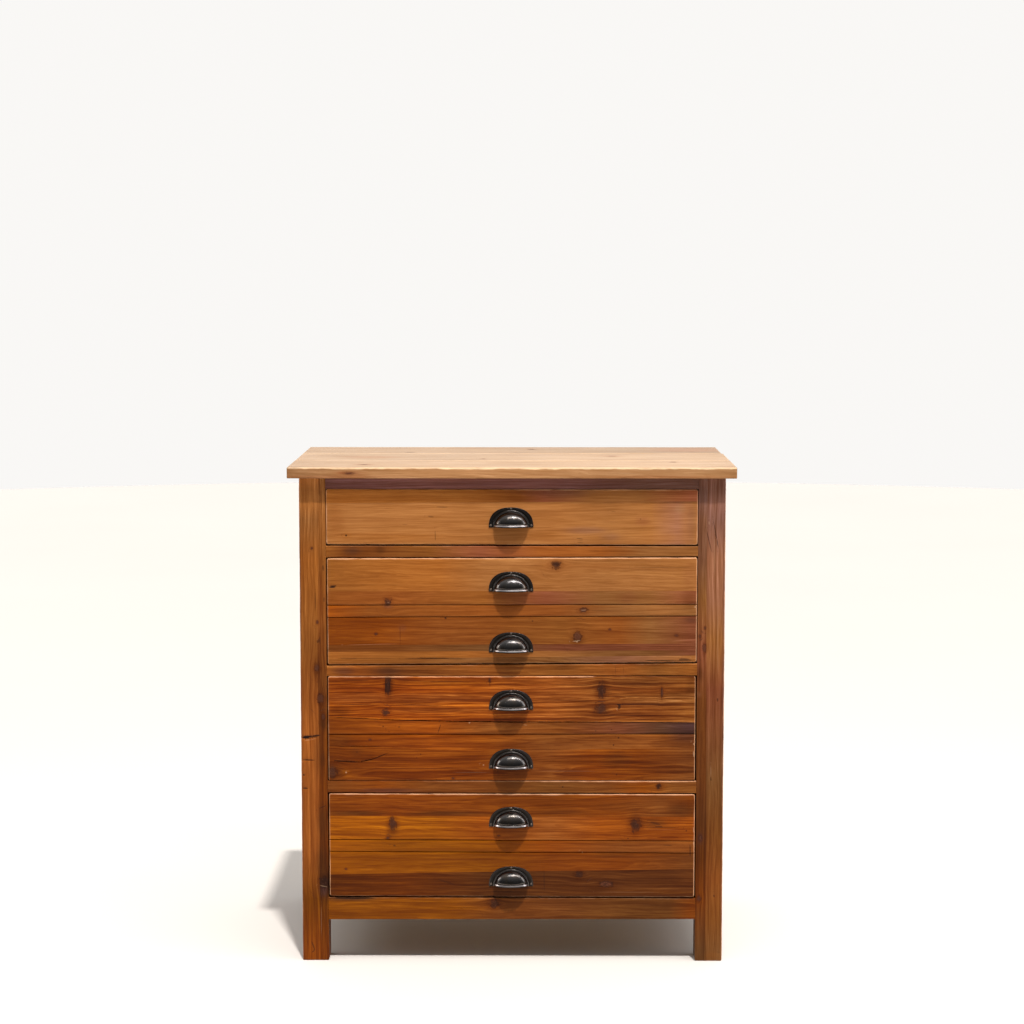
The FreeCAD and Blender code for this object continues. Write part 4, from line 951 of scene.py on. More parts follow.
# ---------------------------------------------------------------- front rails
def rail(name, node, lo, hi, n_lo, staves, seams=(), knots=(), marks=(), stains=(), dents=(), cracks=(), seed=1, radius=(0.8, 1.3, 0.9, 0.9), wear_and_highlight=.3):
    rows, sm, ck = [], [], []
    for i, pts in enumerate(seams):
        mid, rw = seam(px_line(pts), seed * 20 + i)
        sm.append(mid); rows += rw
    for i, (pts, w, dep) in enumerate(cracks):
        c = crack(px_line(pts), w, dep, seed * 20 + 15 + i)
        ck.append(c); rows += c[3]
    pr = Prism(name, (-374.6, 374.6), line2(*lo), line2(*hi), n_lo, 243.0, front_xyz, da=2.4, ds=3.0, end_r=0.5, radius=radius, radius_var=0.45,
               lines=rows, side_rows=10, back_rows=6, wobble=0.22, seed=seed, lift=make_lift((), ck, dents, knots, seed=seed, relief=0.12))
    sk = Skin(pr, Front, sm, staves, knots, marks, stains, seed=seed, wear_and_highlight=(wear_and_highlight, .12, 0.0, 0.0), side_gain=1.1)
    return pr.build(sk.attrs, FRAME, "carcass", node)


rail("frieze_board", "frieze_rail", (970.6, 970.9), (992.9, 992.9), 198.0,
     [{"tone": [(330, ("plum", 2.40)), (450, ("plum", 3.50)), (560, ("plum", 2.75)), (640, ("mauve", 1.10)), (690, ("mauve", 1.00))], "c": .7}], seed=21,
     stains=[(470, 484, 50, 3, ("plum", 1.4), .4), (600, 486, 40, 3, ("plum", 1.4), .4)], wear_and_highlight=.2)
rail("rail_upper_board", "front_rail_upper", (831.2, 834.2), (854.9, 854.3), 198.0,
     [{"tone": [(326, ("amber", 0.80)), (345, ("umber", 1.60)), (380, ("umber", 1.50)), (430, ("amber", 0.65)), (480, ("brick", 1.45)), (540, ("umber", 2.80)), (600, ("rust", 1.10)), (640, ("honey", 0.65)), (690, ("honey", 0.70))], "c": .9, "b": .9}], seed=22,
     stains=[(352, 551, 9, 4, ("soot", 1.2), .45), (380.5, 550, 5, 4, ("umber", .6), .5), (620, 552, 20, 3, ("red", 1.0), .4)], marks=[(440, 549.5, 452, 549.6, .7, .4), (588, 551, 600, 551.2, .6, .35)])
rail("rail_middle_board", "front_rail_middle", (589.5, 591.7), (610.4, 615.9), 198.0,
     [{"tone": [(326, ("amber", 1.00)), (355, ("rust", 1.20)), (390, ("umber", 1.50)), (430, ("rust", 0.70)), (480, ("rust", 0.90)), (560, ("amber", 0.70)), (620, ("rust", 1.05)), (655, ("amber", 0.60)), (690, ("amber", 0.90))], "c": 1.0, "b": 1.7}], seed=23,
     stains=[(344, 671, 11, 4, ("plum", .75), .5), (387, 671, 14, 4, ("soot", 1.1), .45), (566, 667, 14, 3, ("umber", .95), .55), (700, 671, 6, 5, ("umber", 1.0), .3)],
     marks=[(615.3, 665.5, 615.4, 674.5, .5, .5), (623.2, 665.5, 623.3, 674.5, .5, .45), (500, 669, 520, 669.2, .6, .3)])
rail("rail_lower_board", "front_rail_lower", (349.9, 349.3), (373.9, 374.5), 198.0,
     [{"tone": [(326, ("rust", 0.65)), (380, ("red", 1.20)), (430, ("rust", 0.70)), (480, ("rust", 0.75)), (550, ("amber", 0.45)), (610, ("rust", 0.65)), (645, ("red", 1.30)), (670, ("amber", 0.70)), (690, ("amber", 0.70))], "c": .9, "b": 1.3}], seed=24,
     knots=[(658.8, 786.3, 2.6, 3.0, .9, .95)], stains=[(387, 790.5, 30, 2.2, ("plum", .8), .6), (644, 787, 26, 4, ("orange", .9), .4)], marks=[(562, 786.8, 563.2, 787.2, 1.8, .7)], wear_and_highlight=[(326, .15), (440, .35), (535, .8), (584, .9), (590, .5), (598, .95), (697, .95)])
rail("bottom_board", "bottom_rail", (85.6, 87.3), (131.5, 130.0), 203.0,
     [{"tone": [(326, ("orange", 0.70)), (400, ("orange", 0.75)), (450, ("orange", 0.70)), (495, ("rust", 0.65)), (520, ("rust", 0.60)), (560, ("umber", 1.20)), (620, ("amber", 0.40)), (670, ("amber", 0.35)), (692, ("red", 0.90))], "c": 1.1, "b": 1.6, "pith": (100, 26)}], seed=25,
     knots=[(494.5, 903.5, 4.6, 5.2, .8, .80)], cracks=[([(441, 908), (484, 908.1)], 1.0, 1.4)],
     stains=[(462, 908, 30, 4, ("orange", 1.0), .35), (350, 899, 26, 2.4, ("soot", .9), .7), (605, 902, 80, 4, ("umber", .92), .35)],
     dents=[(338, 898.0, 9, 1.3, 1.9), (352, 898.2, 9, 1.3, 1.9), (366, 898.2, 8, 1.2, 1.8)], marks=[(332, 898.2, 376, 898.3, 2.4, .75), (560, 911, 590, 911.3, .6, .3), (640, 905, 664, 905.2, .6, .3)])


# ---------------------------------------------------------------- posts
def post(name, node, x_lo, x_hi, staves, knots=(), marks=(), stains=(), dents=(), rear=False, seed=1, radius=(1.6, 1.9, 1.5, 1.5), wear_and_highlight=1.0, seams=(), step=2.8):
    n_rng = (204.0, 257.0) if rear else (190.0, 243.0)
    xyz = (lambda s, a, n: (a, n, s)) if rear else post_xyz
    rows, sm = [], []
    for i, pts in enumerate(seams):
        mid, rw = seam([tuple(float(c) for c in Upright.pt(u, v)) for u, v in pts], seed * 20 + i)
        sm.append(mid); rows += rw
    pr = Prism(name, (0.0, 992.9), lambda s: np.full_like(s, x_lo), lambda s: np.full_like(s, x_hi), n_rng[0], n_rng[1], xyz, da=step, ds=step, end_r=1.4,
               radius=radius, radius_var=0.5, lines=rows, side_rows=16 if not rear else 10, back_rows=14 if not rear else 10, wobble=0.35, seed=seed, corner=3.5,
               lift=make_lift((), (), dents, knots, q=Upright, seed=seed, relief=0.2), side_lift=lambda S, N: 0.18 * fbm(S / 50.0, N / 15.0, seed=seed + 9, octaves=3) - 0.1)
    sk = Skin(pr, Upright, sm, staves, knots, marks, stains, seed=seed, n_face=n_rng[1], wear_and_highlight=wear_and_highlight, wear_and_highlight_low=0.7, side_gain=0.95)
    return pr.build(sk.attrs, FRAME, "carcass", node)


post("post_left_board", "post_front_left", -428.0, -374.2,
     # the outer stave is lightest at its upper end (honey 1.50 at the top stop): painted light over the shadow the
     # top's overhang casts there
     [{"tone": [(480, ("honey", 1.50)), (520, ("honey", 0.70)), (560, ("amber", 1.00)), (650, ("amber", 0.70)), (690, ("rust", 0.90)), (740, ("rust", 1.25)), (850, ("rust", 1.15)), (900, ("orange", 0.50)), (950, ("red", 1.15))],
       "c": 1.0, "b": 1.3, "pith": (-436, 14), "slope": .006, "wave": 4.0},
      {"tone": [(480, ("honey", 0.90)), (560, ("amber", 0.75)), (600, ("rust", 0.85)), (690, ("rust", 0.55)), (740, ("red", 0.70)), (800, ("red", 0.80)), (850, ("red", 0.65)), (885, ("umber", 0.20)), (905, ("orange", 0.45)), (950, ("red", 0.90))], "c": 1.0, "b": 1.5, "pith": (-402, 20)}],
     seams=[[(318.6, 478), (317.5, 660), (319.2, 760), (320.5, 960)]],
     knots=[(316.5, 668.3, 2.6, 3.8, .9, .50), (320.6, 698.5, 3.8, 4.8, .9, .60), (323.2, 716.6, 2.0, 3.0, .7, .60), (323.9, 881.8, 4.6, 5.6, .9, .95), (311.7, 548.3, 1.2, 1.4, .4), (317.3, 622.3, 1.3, 2.0, .4)],
     marks=[(302, 737.9, 311, 736.6, 3.4, 1.0), (311, 736.6, 320.2, 735.2, 2.2, .9), (302.4, 760, 315, 760.2, 1.4, .8), (302.4, 775, 305, 775.1, 1.6, .75), (302.4, 788.3, 308, 788.4, 1.6, .8), (315, 592, 315.2, 611, .9, .5), (319.8, 636, 319.9, 645, 1.0, .6),
            (319, 808.6, 326.5, 805.3, 1.1, .6), (319.9, 885.4, 328, 887.1, 1.0, -.25), (321.3, 904, 321.4, 937, .6, -.15), (311.5, 941, 314.8, 950, 1.6, .55), (314.8, 950, 311.8, 952.4, 1.3, .5), (323, 565, 323.2, 571, 2.2, .45), (324, 597, 324.1, 602, 2.0, .45),
            (304, 740.8, 316, 738.6, .8, -.25), (317.3, 640, 317.4, 643, 1.8, .5)],
     # the long thin plum streak at the outer edge is painted shade on the rounded arris, and the long thin umber streak
     # at the inner edge is painted shade in the gap beside the drawers
     stains=[(323.5, 724, 3.6, 7, ("umber", .6), .75), (319, 752, 5.5, 26, ("umber", 1.05), .5), (322.5, 822, 5.0, 18, ("umber", .70), .75), (316.5, 669, 3, 12, ("umber", .85), .5), (321.5, 866, 5.0, 26, ("umber", .60), .75), (323.5, 890, 4.5, 7, ("plum", .7), .6), (301.5, 720, 1.0, 240, ("plum", .9), .4), (323, 760, 3, 7, ("umber", .6), .5),
             (308, 500, 7, 16, ("amber", .90), .4), (326.3, 600, 1.2, 120, ("umber", .9), .4)],
     dents=[(304, 738.0, 4.5, 1.5, 2.4), (311, 736.6, 4.5, 1.1, 1.6), (306, 760, 5.5, .9, 1.2), (303.4, 775, 1.8, .8, .9), (305, 788.3, 3.0, .9, 1.2), (320.6, 698.5, 2.0, 2.0, .5), (324, 881, 2.5, 3, .9)], wear_and_highlight=(.12, .6, .5, .5), seed=31)
post("post_right_board", "post_front_right", 374.2, 429.7,
     [{"tone": [(478, ("mauve", 1.25)), (500, ("mauve", 1.10)), (520, ("pink", 0.50)), (560, ("pink", 0.50)), (600, ("honey", 0.55)), (650, ("brick", 1.15)), (700, ("umber", 1.20)), (780, ("umber", 1.25)), (820, ("umber", 0.80)), (860, ("red", 0.45)), (900, ("red", 0.80)), (950, ("honey", 0.30))], "c": 1.0, "b": 1.4, "pith": (368, 22)},
      {"tone": [(478, ("mauve", 1.55)), (500, ("mauve", 1.65)), (520, ("mauve", 1.30)), (560, ("pink", 0.90)), (600, ("pink", 0.85)), (640, ("honey", 0.75)), (690, ("brick", 1.10)), (780, ("honey", 0.40)), (830, ("amber", 0.50)), (880, ("rust", 0.80)), (920, ("amber", 0.60)), (950, ("honey", 0.45))], "c": 1.0, "b": 1.3, "pith": (436, 20), "wave": 4.0}],
     seams=[[(707.6, 478), (706.5, 620), (706.2, 760), (705.0, 960)]],
     knots=[(704.4, 648, 2.2, 4.0, .7, .40), (704.9, 628.1, 1.3, 1.6, .5), (699.9, 636.4, 1.3, 1.6, .5), (698.8, 898.8, 2.2, 3.0, .7, .60), (700.5, 838, 1.6, 3, .4)],
     marks=[(713.1, 519.7, 718.9, 549.5, 1.1, .6), (706.5, 529.7, 711.5, 552, 1.1, .55), (714.5, 535, 714.8, 578, 1.6, -.10), (717.5, 600, 717.8, 675, 1.6, -.08), (717.4, 698, 717.8, 702, 1.6, .6), (710.7, 765, 710.9, 778, 1.0, -.15), (710.9, 778, 711, 781, 1.4, .6),
            (713.7, 894.5, 714.2, 897.5, 1.5, .6), (716, 952, 721, 952.3, .6, .4), (709, 521, 709.3, 525, 1.4, -.2)],
     # the long thin plum streak near the outer edge is painted shade on the rounded arris
     stains=[(700, 674, 3.4, 8, ("umber", .62), .6), (699, 694.8, 1.8, 2.6, ("pink", .7), .4), (700, 838, 3, 6, ("plum", .75), .5), (699.5, 760, 3, 60, ("umber", .9), .35), (723, 700, 1.0, 260, ("plum", .9), .5), (712, 955, 7, 4, ("amber", .8), .3)],
     dents=[(717.6, 700, 1.2, 1.6, .8), (704.4, 648, 1.6, 2.6, .5), (713.9, 896, 1.1, 1.4, .7)], wear_and_highlight=(.8, .10, .5, .5), seed=32, radius=(1.6, 2.4, 1.5, 1.5))
for sx, side, sd in ((-1, "left", 33), (1, "right", 34)):
    lo, hi = sorted((sx * 428.0, sx * 375.0))
    post("post_rear_%s_board" % side, "post_rear_%s" % side, lo, hi,
         [{"tone": [(480, ("rust", 0.90)), (600, ("rust", 0.95)), (720, ("red", 1.00)), (850, ("red", 0.85)), (950, ("red", 0.90))], "c": .7}],
         knots=[(308.0 if sx < 0 else 714.0, 600 + 30 * sd % 90, 3, 4.5, .9), (716.0 if sx > 0 else 310.0, 820, 2.5, 4, .9)],
         stains=[(512 + sx * 200, 760, 9, 40, ("umber", 1.1), .4), (512 + sx * 203, 560, 8, 30, ("amber", .9), .4)], rear=True, seed=sd, step=4.0)


# ---------------------------------------------------------------- top planks
def top_plank(name, node, x_rng, a_rng, staves, knots=(), marks=(), stains=(), seed=1, radius=(0.5, 0.5, 0.5, 0.5), side_knots=(), side_marks=(), side_stains=(), side_rows=4, dents=(), wear_and_highlight=1.0, ca=0.0):
    pr = Prism(name, x_rng, lambda s: np.full_like(s, a_rng[0]), lambda s: np.full_like(s, a_rng[1]), 993.0, 1015.0, top_xyz, da=3.4, ds=3.0, end_r=1.6 if ca else 1.2,
               radius=radius, radius_var=0.5, side_rows=side_rows, back_rows=8, wobble=0.06, seed=seed, corner=ca,
               lift=make_lift((), (), dents, knots, q=Flat, seed=seed, relief=0.14), side_lift=(lambda S, N: 0.35 * fbm(S / 35.0, N / 7.0, seed=seed + 9, octaves=3) - 0.25) if side_rows > 4 else None)
    sk = Skin(pr, Flat, [], staves, knots, marks, stains, seed=seed, n_face=1015.0, wear_and_highlight=(wear_and_highlight, 0.0, .5 * wear_and_highlight, .6 * wear_and_highlight), side_gain=(.87, .66, .46), side_knots=side_knots, side_marks=side_marks, side_stains=side_stains)
    return pr.build(sk.attrs, TOPW, "carcass", node)


def fx_(u, v):
    """Image point on the front edge of the top: x and z."""
    x, z = px(u, v, -265.0)
    return float(x), float(z)


def ft(u, v):
    """Image point on the upper surface: x and -y."""
    x, y = pz(u, v, 1015.0)
    return float(x), -float(y)


kx, kz = fx_(351, 473.4)
top_plank("top_front_board", "top_plank_front", (-450.0, 450.0), (88.05, 265.0),
          [{"tone": [(-450, ("top", 0.90)), (-300, ("top", 1.00)), (250, ("top", 1.05)), (450, ("top", 0.95))], "c": .8, "pith": (150, 34), "slope": .006}],
          seed=41, radius=(0.5, 2.2, 1.7, 0.5), side_rows=9, ca=3.0, wear_and_highlight=.9,
          side_knots=[(kx - 4, kz, 9.0, 2.6, 1.6)], side_stains=[(-75, 1004, 235, 60, ("top", 1.24), 1.0), (kx, kz, 34, 6, ("pink", 1.0), .40), (fx_(341, 473)[0], kz + 1, 9, 2.2, ("brick", 1.5), .40), (-350, 996, 120, 3, ("pink", 1.2), .35), (300, 996, 150, 3, ("pink", 1.2), .35)],
          side_marks=[(fx_(344, 474.3)[0], kz - 1, fx_(362, 474.3)[0], kz - 1, 1.0, .22), (fx_(620, 472)[0], 1003, fx_(640, 472)[0], 1003, .8, .25), (fx_(430, 474)[0], 1000, fx_(462, 474)[0], 1000, .9, .22)],
          marks=[(ft(555, 462.6)[0], ft(555, 462.6)[1], ft(594, 463.4)[0], ft(594, 463.4)[1], 2.4, -.25), (-210, 150, -150, 152, 1.6, .35), (120, 205, 190, 206, 1.4, .3)],
          knots=[(-300, 195, 10, 6, .9), (330, 130, 8, 5, .8)], stains=[(-300, 196, 26, 12, ("rust", 1.1), .4), (60, 120, 160, 9, ("pale", .8), .3)], dents=[(ft(568.8, 463)[0], 262.0, 3.0, 2.0, 1.0), (-120, 263, 5, 2, .8), (250, 263, 4, 2, .7)])
top_plank("top_middle_board", "top_plank_middle", (-449.4, 449.5), (-87.95, 87.95),
          [{"tone": [(-450, ("top", 0.95)), (-150, ("top", 0.90)), (150, ("top", 1.00)), (450, ("top", 0.95))], "c": .6, "pith": (-30, 26)}],
          seed=42, marks=[(-200, 40, -150, 42, 1.8, .4)], knots=[(210, -20, 9, 6, .9), (-60, 52, 6, 4, .7)], stains=[(-300, 10, 60, 30, ("rust", 1.25), .25), (210, -20, 24, 12, ("rust", 1.1), .4)], dents=())
top_plank("top_rear_board", "top_plank_rear", (-449.6, 446.4), (-265.0, -88.05),
          [{"tone": [(-450, ("top", 0.90)), (-100, ("top", 0.90)), (450, ("top", 0.70))], "c": .6, "pith": (-230, 30)}],
          seed=43, radius=(1.8, 0.5, 0.5, 1.6), marks=[(ft(404, 452.3)[0], ft(404, 452.3)[1], ft(416, 452.3)[0], ft(416, 452.3)[1], 10, .7), (ft(513, 453)[0], -100, ft(528, 453)[0], -100, 6, .5)],
          stains=[(250, -95, 220, 9, ("pale", .9), .4), (380, -190, 90, 60, ("pink", 1.0), .4)], knots=[(40, -200, 9, 6, .9)])


# ---------------------------------------------------------------- side frames
def flat_board(name, node, s_rng, a_rng, n_rng, xyz, staves, material, body="carcass", seams=(), knots=(), marks=(), stains=(), dents=(), seed=1,
               radius=(1.2, 1.2, 0.9, 0.9), da=4.0, ds=4.0, grooves=(), wear_and_highlight=.8, side_rows=4, back_rows=6, end_r=0.5):
    rows, sm, gr = [], [], []
    for i, pts in enumerate(seams):
        mid, rw = seam(pts, seed * 20 + i)
        sm.append(mid); rows += rw
    for i, pts in enumerate(grooves):
        mid, rw = groove(pts, seed * 20 + 10 + i, half=0.9)
        gr.append(mid); rows += rw
    pr = Prism(name, s_rng, lambda s: np.full_like(s, a_rng[0]), lambda s: np.full_like(s, a_rng[1]), n_rng[0], n_rng[1], xyz, da=da, ds=ds, end_r=end_r, radius=radius,
               radius_var=0.4, lines=rows, side_rows=side_rows, back_rows=back_rows, wobble=0.1, seed=seed,
               lift=make_lift(gr, (), dents, knots, q=Flat, seed=seed, relief=0.15, depth=0.9, half=0.9))
    sk = Skin(pr, Flat, sm, staves, knots, marks, stains, seed=seed, n_face=n_rng[1], wear_and_highlight=wear_and_highlight)
    return pr.build(sk.attrs, material, body, node)


for sx, side, sd in ((-1, "left", 51), (1, "right", 61)):
    R = np.random.RandomState(sd)
    flat_board("side_rail_top_%s_board" % side, "side_rail_top_%s" % side, (-190.0, 204.0), (945.0, 992.9), (402.0, 424.0), side_rail_xyz(sx),
               [{"tone": [(-190, ("rust", .95)), (0, ("rust", .86)), (204, ("red", 1.0))], "c": .6}], FRAME, seed=sd,
               knots=[(60 * sx + 10, 966, 8, 5, .9)], stains=[(-120, 985, 60, 8, ("umber", 1.2), .4)])
    flat_board("side_rail_lower_%s_board" % side, "side_rail_lower_%s" % side, (-190.0, 204.0), (87.0, 140.0), (402.0, 424.0), side_rail_xyz(sx),
               [{"tone": [(-190, ("red", .95)), (0, ("rust", .80)), (204, ("rust", .86))], "c": .65}], FRAME, seed=sd + 1,
               knots=[(-70 * sx, 112, 9, 6, .9)], stains=[(100, 100, 50, 9, ("umber", .9), .5)], marks=[(20, 120, 60, 121, 1.6, .5)])
    edges = [-112.0, -24.0, 52.0, 137.0]
    st = []
    for k, (nm, g) in enumerate((("rust", .92), ("amber", .80), ("red", .98), ("rust", .98), ("amber", .74))):
        st.append({"tone": [(140, (nm, g * .86)), (420, (nm, g * .95)), (700, (nm, g)), (945, (nm, g * 1.06))], "c": .65, "slope": float(R.uniform(-.012, .012))})
    kn = [(float(R.uniform(190, 880)), float(R.uniform(-170, 180)), float(R.uniform(7, 12)), float(R.uniform(5, 8)), .9) for _ in range(7)]
    mk = [(float(z), float(y), float(z) + float(R.uniform(14, 50)), float(y) + .5, 1.6, .6) for z, y in zip(R.uniform(200, 860, 7), R.uniform(-170, 180, 7))]
    sn = [(float(z), float(y), float(R.uniform(20, 60)), float(R.uniform(6, 16)), (("umber", 1.0), ("plum", .9), ("orange", 1.0))[i % 3], .4) for i, (z, y) in enumerate(zip(R.uniform(180, 900, 9), R.uniform(-180, 190, 9)))]
    flat_board("side_panel_%s_boards" % side, "side_panel_%s" % side, (133.0, 952.0), (-197.0, 211.0), (408.0, 417.0), side_panel_xyz(sx), st, PANEL,
               seams=[[(133.0, e), (952.0, e)] for e in edges], grooves=[[(133.0, e), (952.0, e)] for e in edges], knots=kn, marks=mk, stains=sn, seed=sd + 2, da=3.6, ds=4.2, wear_and_highlight=.3)


# ---------------------------------------------------------------- cup pulls
def cup_pull(k, z0, body):
    R, D, RI, DI = 34.0, 22.0, 32.4, 20.4
    cx, zm = -1.6, z0 + 1.0
    nP = 44
    p = np.sin(np.linspace(-math.pi / 2, math.pi / 2, nP + 1) * 0.985) / math.sin(math.pi / 2 * 0.985)
    zq = np.concatenate([[0, .2, .5, .9, 1.3, 1.7, 2.0, 2.4, 3.0, 3.8, 4.5, 4.85, 5.0, 5.15, 5.35, 5.6, 5.9, 6.2, 6.5, 6.9, 7.4], 34 * np.sin(np.linspace(math.asin(8.2 / 34), math.pi / 2, 20))])
    q = zq / 34.0

    def half(R_, D_, base, bead):
        P, Q = np.meshgrid(p, q, indexing="ij")
        x = R_ * P * np.sqrt(1 - Q * Q / 2)
        z = R_ * Q * np.sqrt(1 - P * P / 2)
        rho = np.clip(np.hypot(x, z) / R_, 0, 1)
        z = np.where(z > 8.0, 8.0 + (z - 8.0) * 0.885, z)
        d = base + (D_ - base) * np.clip(1 - rho ** 2, 0, 1) ** 0.60
        if bead:
            # a broad lip leaning back, rounded under, with a crease above it
            b = (1.75 - 0.40 * np.clip(z - 2.0, 0, 3.0)) * smooth(z, 5.3, 4.95) - 1.7 * (1 - np.sqrt(np.clip(1 - (np.clip(2.0 - z, 0, 2.0) / 2.0) ** 2, 0, 1)))
            b = b - 0.75 * smooth(z, 4.95, 5.35) * smooth(z, 7.0, 5.9)
            nx, nd = x / R_ ** 2, (d - base) / D_ ** 2
            ln = np.hypot(nx, nd) + 1e-9
            fade = smooth(d - base, 0.3, 3.0)
            x = x + b * nx / ln * fade
            d = d + b * nd / ln * fade
        return x, z, d

    V = []
    xo, zo, do = half(R, D, 2.5, True)
    xi, zi, di = half(RI, DI, 0.0, False)
    nQ = len(q)
    V.append(np.stack([xo, do, zo], -1).reshape(-1, 3))
    V.append(np.stack([xi, di, zi], -1).reshape(-1, 3))
    io = np.arange((nP + 1) * nQ).reshape(nP + 1, nQ)
    ii = io + io.size
    faces = []
    for g in (io, ii):
        faces += np.stack([g[:-1, :-1], g[1:, :-1], g[1:, 1:], g[:-1, 1:]], -1).reshape(-1, 4).tolist()
    bo = list(io[0, :]) + list(io[1:, -1]) + list(io[-1, -2::-1])
    bi = list(ii[0, :]) + list(ii[1:, -1]) + list(ii[-1, -2::-1])
    th = []
    Vo = V[0]
    for j in bo:
        th.append(math.atan2(max(Vo[j, 2], 0.0), Vo[j, 0]))
    th = np.array(th)
    out = 1 / (np.abs(np.cos(th) / 45.0) ** 2.4 + np.abs(np.sin(th) / 39.5) ** 2.4) ** (1 / 2.4)
    rd = 1 / np.sqrt((np.cos(th) / 34.0) ** 2 + (np.sin(th) / 31.1) ** 2)
    rg = rd + 2.9
    prof = [(rd + 0.15, 2.45), (rd + 0.5, 2.58), (rd + 1.05, 2.72), (rd + 1.6, 2.70), (rd + 2.15, 2.52), (rd + 2.6, 2.22), (rg, 1.8), (rg + 0.2, 1.5), (rg + (out - rg) * 0.3, 1.22), (rg + (out - rg) * 0.65, 1.28), (out - 1.0, 1.45), (out - 0.45, 1.3), (out - 0.12, 1.0), (out, 0.7), (out, 0.0)]
    rub_and_highlight = [.05, .08, .11, .12, .10, .06, .02, 0, 0, 0, .05, .10, .05, 0, 0]
    hollow_shade = [.35, 0, 0, 0, 0, 0, .3, .75, .35, .1, 0, 0, .2, .6, .8]
    cols = len(bo)
    base = sum(len(v) for v in V)
    ring = np.zeros((len(prof) + 2, cols + 2), int)
    pts = []
    n = base
    for r, (rr, dd) in enumerate(prof):
        x = rr * np.cos(th)
        z = rr * np.sin(th)
        ring[r + 1, 1:-1] = np.arange(n, n + cols)
        pts.append(np.stack([x, np.full_like(x, dd), z], -1)); n += cols
    ring[0, 1:-1] = bo
    ring[-1, 1:-1] = bi
    V.append(np.concatenate(pts))
    allv = np.concatenate(V)
    ext = []
    for c, src in ((0, 1), (cols + 1, cols)):
        for r in range(ring.shape[0]):
            v = allv[ring[r, src]].copy()
            v[2] = -1.0
            if r in (len(prof), len(prof) - 1, len(prof) - 2):
                v[0] *= 0.985
            ring[r, c] = n
            ext.append(v); n += 1
    allv = np.concatenate([allv, np.array(ext)])
    faces += np.stack([ring[:-1, :-1], ring[1:, :-1], ring[1:, 1:], ring[:-1, 1:]], -1).reshape(-1, 4).tolist()
    faces.append(list(ring[:, 0])); faces.append(list(ring[:, -1]))
    faces.append([ring[0, 0], ring[0, 1], ring[-1, 1], ring[-1, 0]])
    faces.append([ring[0, -1], ring[0, -2], ring[-1, -2], ring[-1, -1]])
    a, b = io[:, 0], ii[:, 0]
    faces += np.stack([a[:-1], a[1:], b[1:], b[:-1]], -1).tolist()
    # cast unevenness, a little different on each pull
    w = 0.06 * fbm(allv[:, 0] / 7.0 + k * 9.0, allv[:, 2] / 7.0, allv[:, 1] / 7.0, seed=90 + k, octaves=2)
    dfull = allv[:, 1] + w * (allv[:, 1] > 0.5)
    P = np.stack([allv[:, 0] + cx, F - dfull, allv[:, 2] + zm], -1) * 0.001
    # finish of each point: pale rubbed metal with a painted highlight on the lip band and step ring, near-black painted
    # shade in the crease, under the lip, at the dome's rim, inside the cup and in the corners of the flange, and a
    # darker plate on the flange and step ring, painted shade for the dark room they reflect
    z_ = allv[:, 2]
    fin = np.zeros((len(allv), 3))
    n_out = io.size
    # lip band: pale rubbed metal with a painted highlight
    lip = 1.0 * smooth(z_, 1.8, 2.4) * smooth(z_, 5.05, 4.6)
    fin[:n_out, 0] = lip[:n_out]
    # near-black painted shade: the crease above the lip, the underside of the lip, the dome's rim, and the whole inside
    # of the cup
    fin[:n_out, 1] = (np.exp(-((z_ - 5.75) / 0.5) ** 2) + smooth(z_, 1.9, 1.2))[:n_out]
    rim = np.hypot(xo / 34.0, zo / 31.0).reshape(-1)
    fin[:n_out, 1] = np.maximum(fin[:n_out, 1], 0.5 * smooth(rim, 0.985, 1.0))
    fin[n_out:2 * n_out, 1] = 0.9
    # per profile row: pale rubbed highlight, near-black painted shade in the step and flange corners, and a darker
    # plate over the ring and flange, painted shade for their dark reflection
    for r in range(len(prof)):
        ids = ring[r + 1]
        fin[ids, 0], fin[ids, 1], fin[ids, 2] = rub_and_highlight[r], hollow_shade[r], 1.0 if r >= 7 else 0.75
    me = bpy.data.meshes.new("cup_pull_%d_cast" % k)
    me.from_pydata(P.tolist(), [], [[int(i) for i in f] for f in faces])
    at = me.attributes.new("fin", "FLOAT_VECTOR", "POINT")
    at.data.foreach_set("vector", np.clip(fin, 0, 1).astype(np.float32).ravel())
    import bmesh
    bm = bmesh.new()
    bm.from_mesh(me)
    bmesh.ops.recalc_face_normals(bm, faces=bm.faces)
    bm.to_mesh(me)
    bm.free()
    me.polygons.foreach_set("use_smooth", np.ones(len(me.polygons), bool))
    me.set_sharp_from_angle(angle=math.radians(50))
    me.materials.append(NICKEL)
    ob = bpy.data.objects.new("cup_pull_%d_cast" % k, me)
    bpy.context.scene.collection.objects.link(ob)
    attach(ob, body)
    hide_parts("cup_pull_%d" % k)
    return ob


PULLS = {1: (892.4, 1), 2: (762.4, 2), 3: (638.8, 2), 4: (521.0, 3), 5: (400.0, 3), 6: (279.8, 4), 7: (156.2, 4)}
for k, (z0, dr) in PULLS.items():
    cup_pull(k, z0, "drawer_%d" % dr)

# ---------------------------------------------------------------- finishes of the pieces kept from the frame
SIDE_L = bare_wood("bare_pine_sides", "yxz", 1.0)
SIDE_B = bare_wood("bare_pine_backs", "xyz", 2.0, tone=TONES["bare"] * .93)
RUNNER = bare_wood("bare_pine_runners", "yxz", 3.0, tone=TONES["bare"] * .82)
CROSS = bare_wood("bare_pine_cross", "xzy", 4.0, tone=TONES["bare"] * .86)
PLY_X = ply_wood("bare_ply_bottoms", "xyz", 1.0)
PLY_Z = ply_wood("bare_ply_back", "zxy", 2.0)


def finish_node(name, mat):
    o = NODES[name]
    if not o.material_slots:
        o.data.materials.append(mat)
    for s in o.material_slots:
        s.material = mat


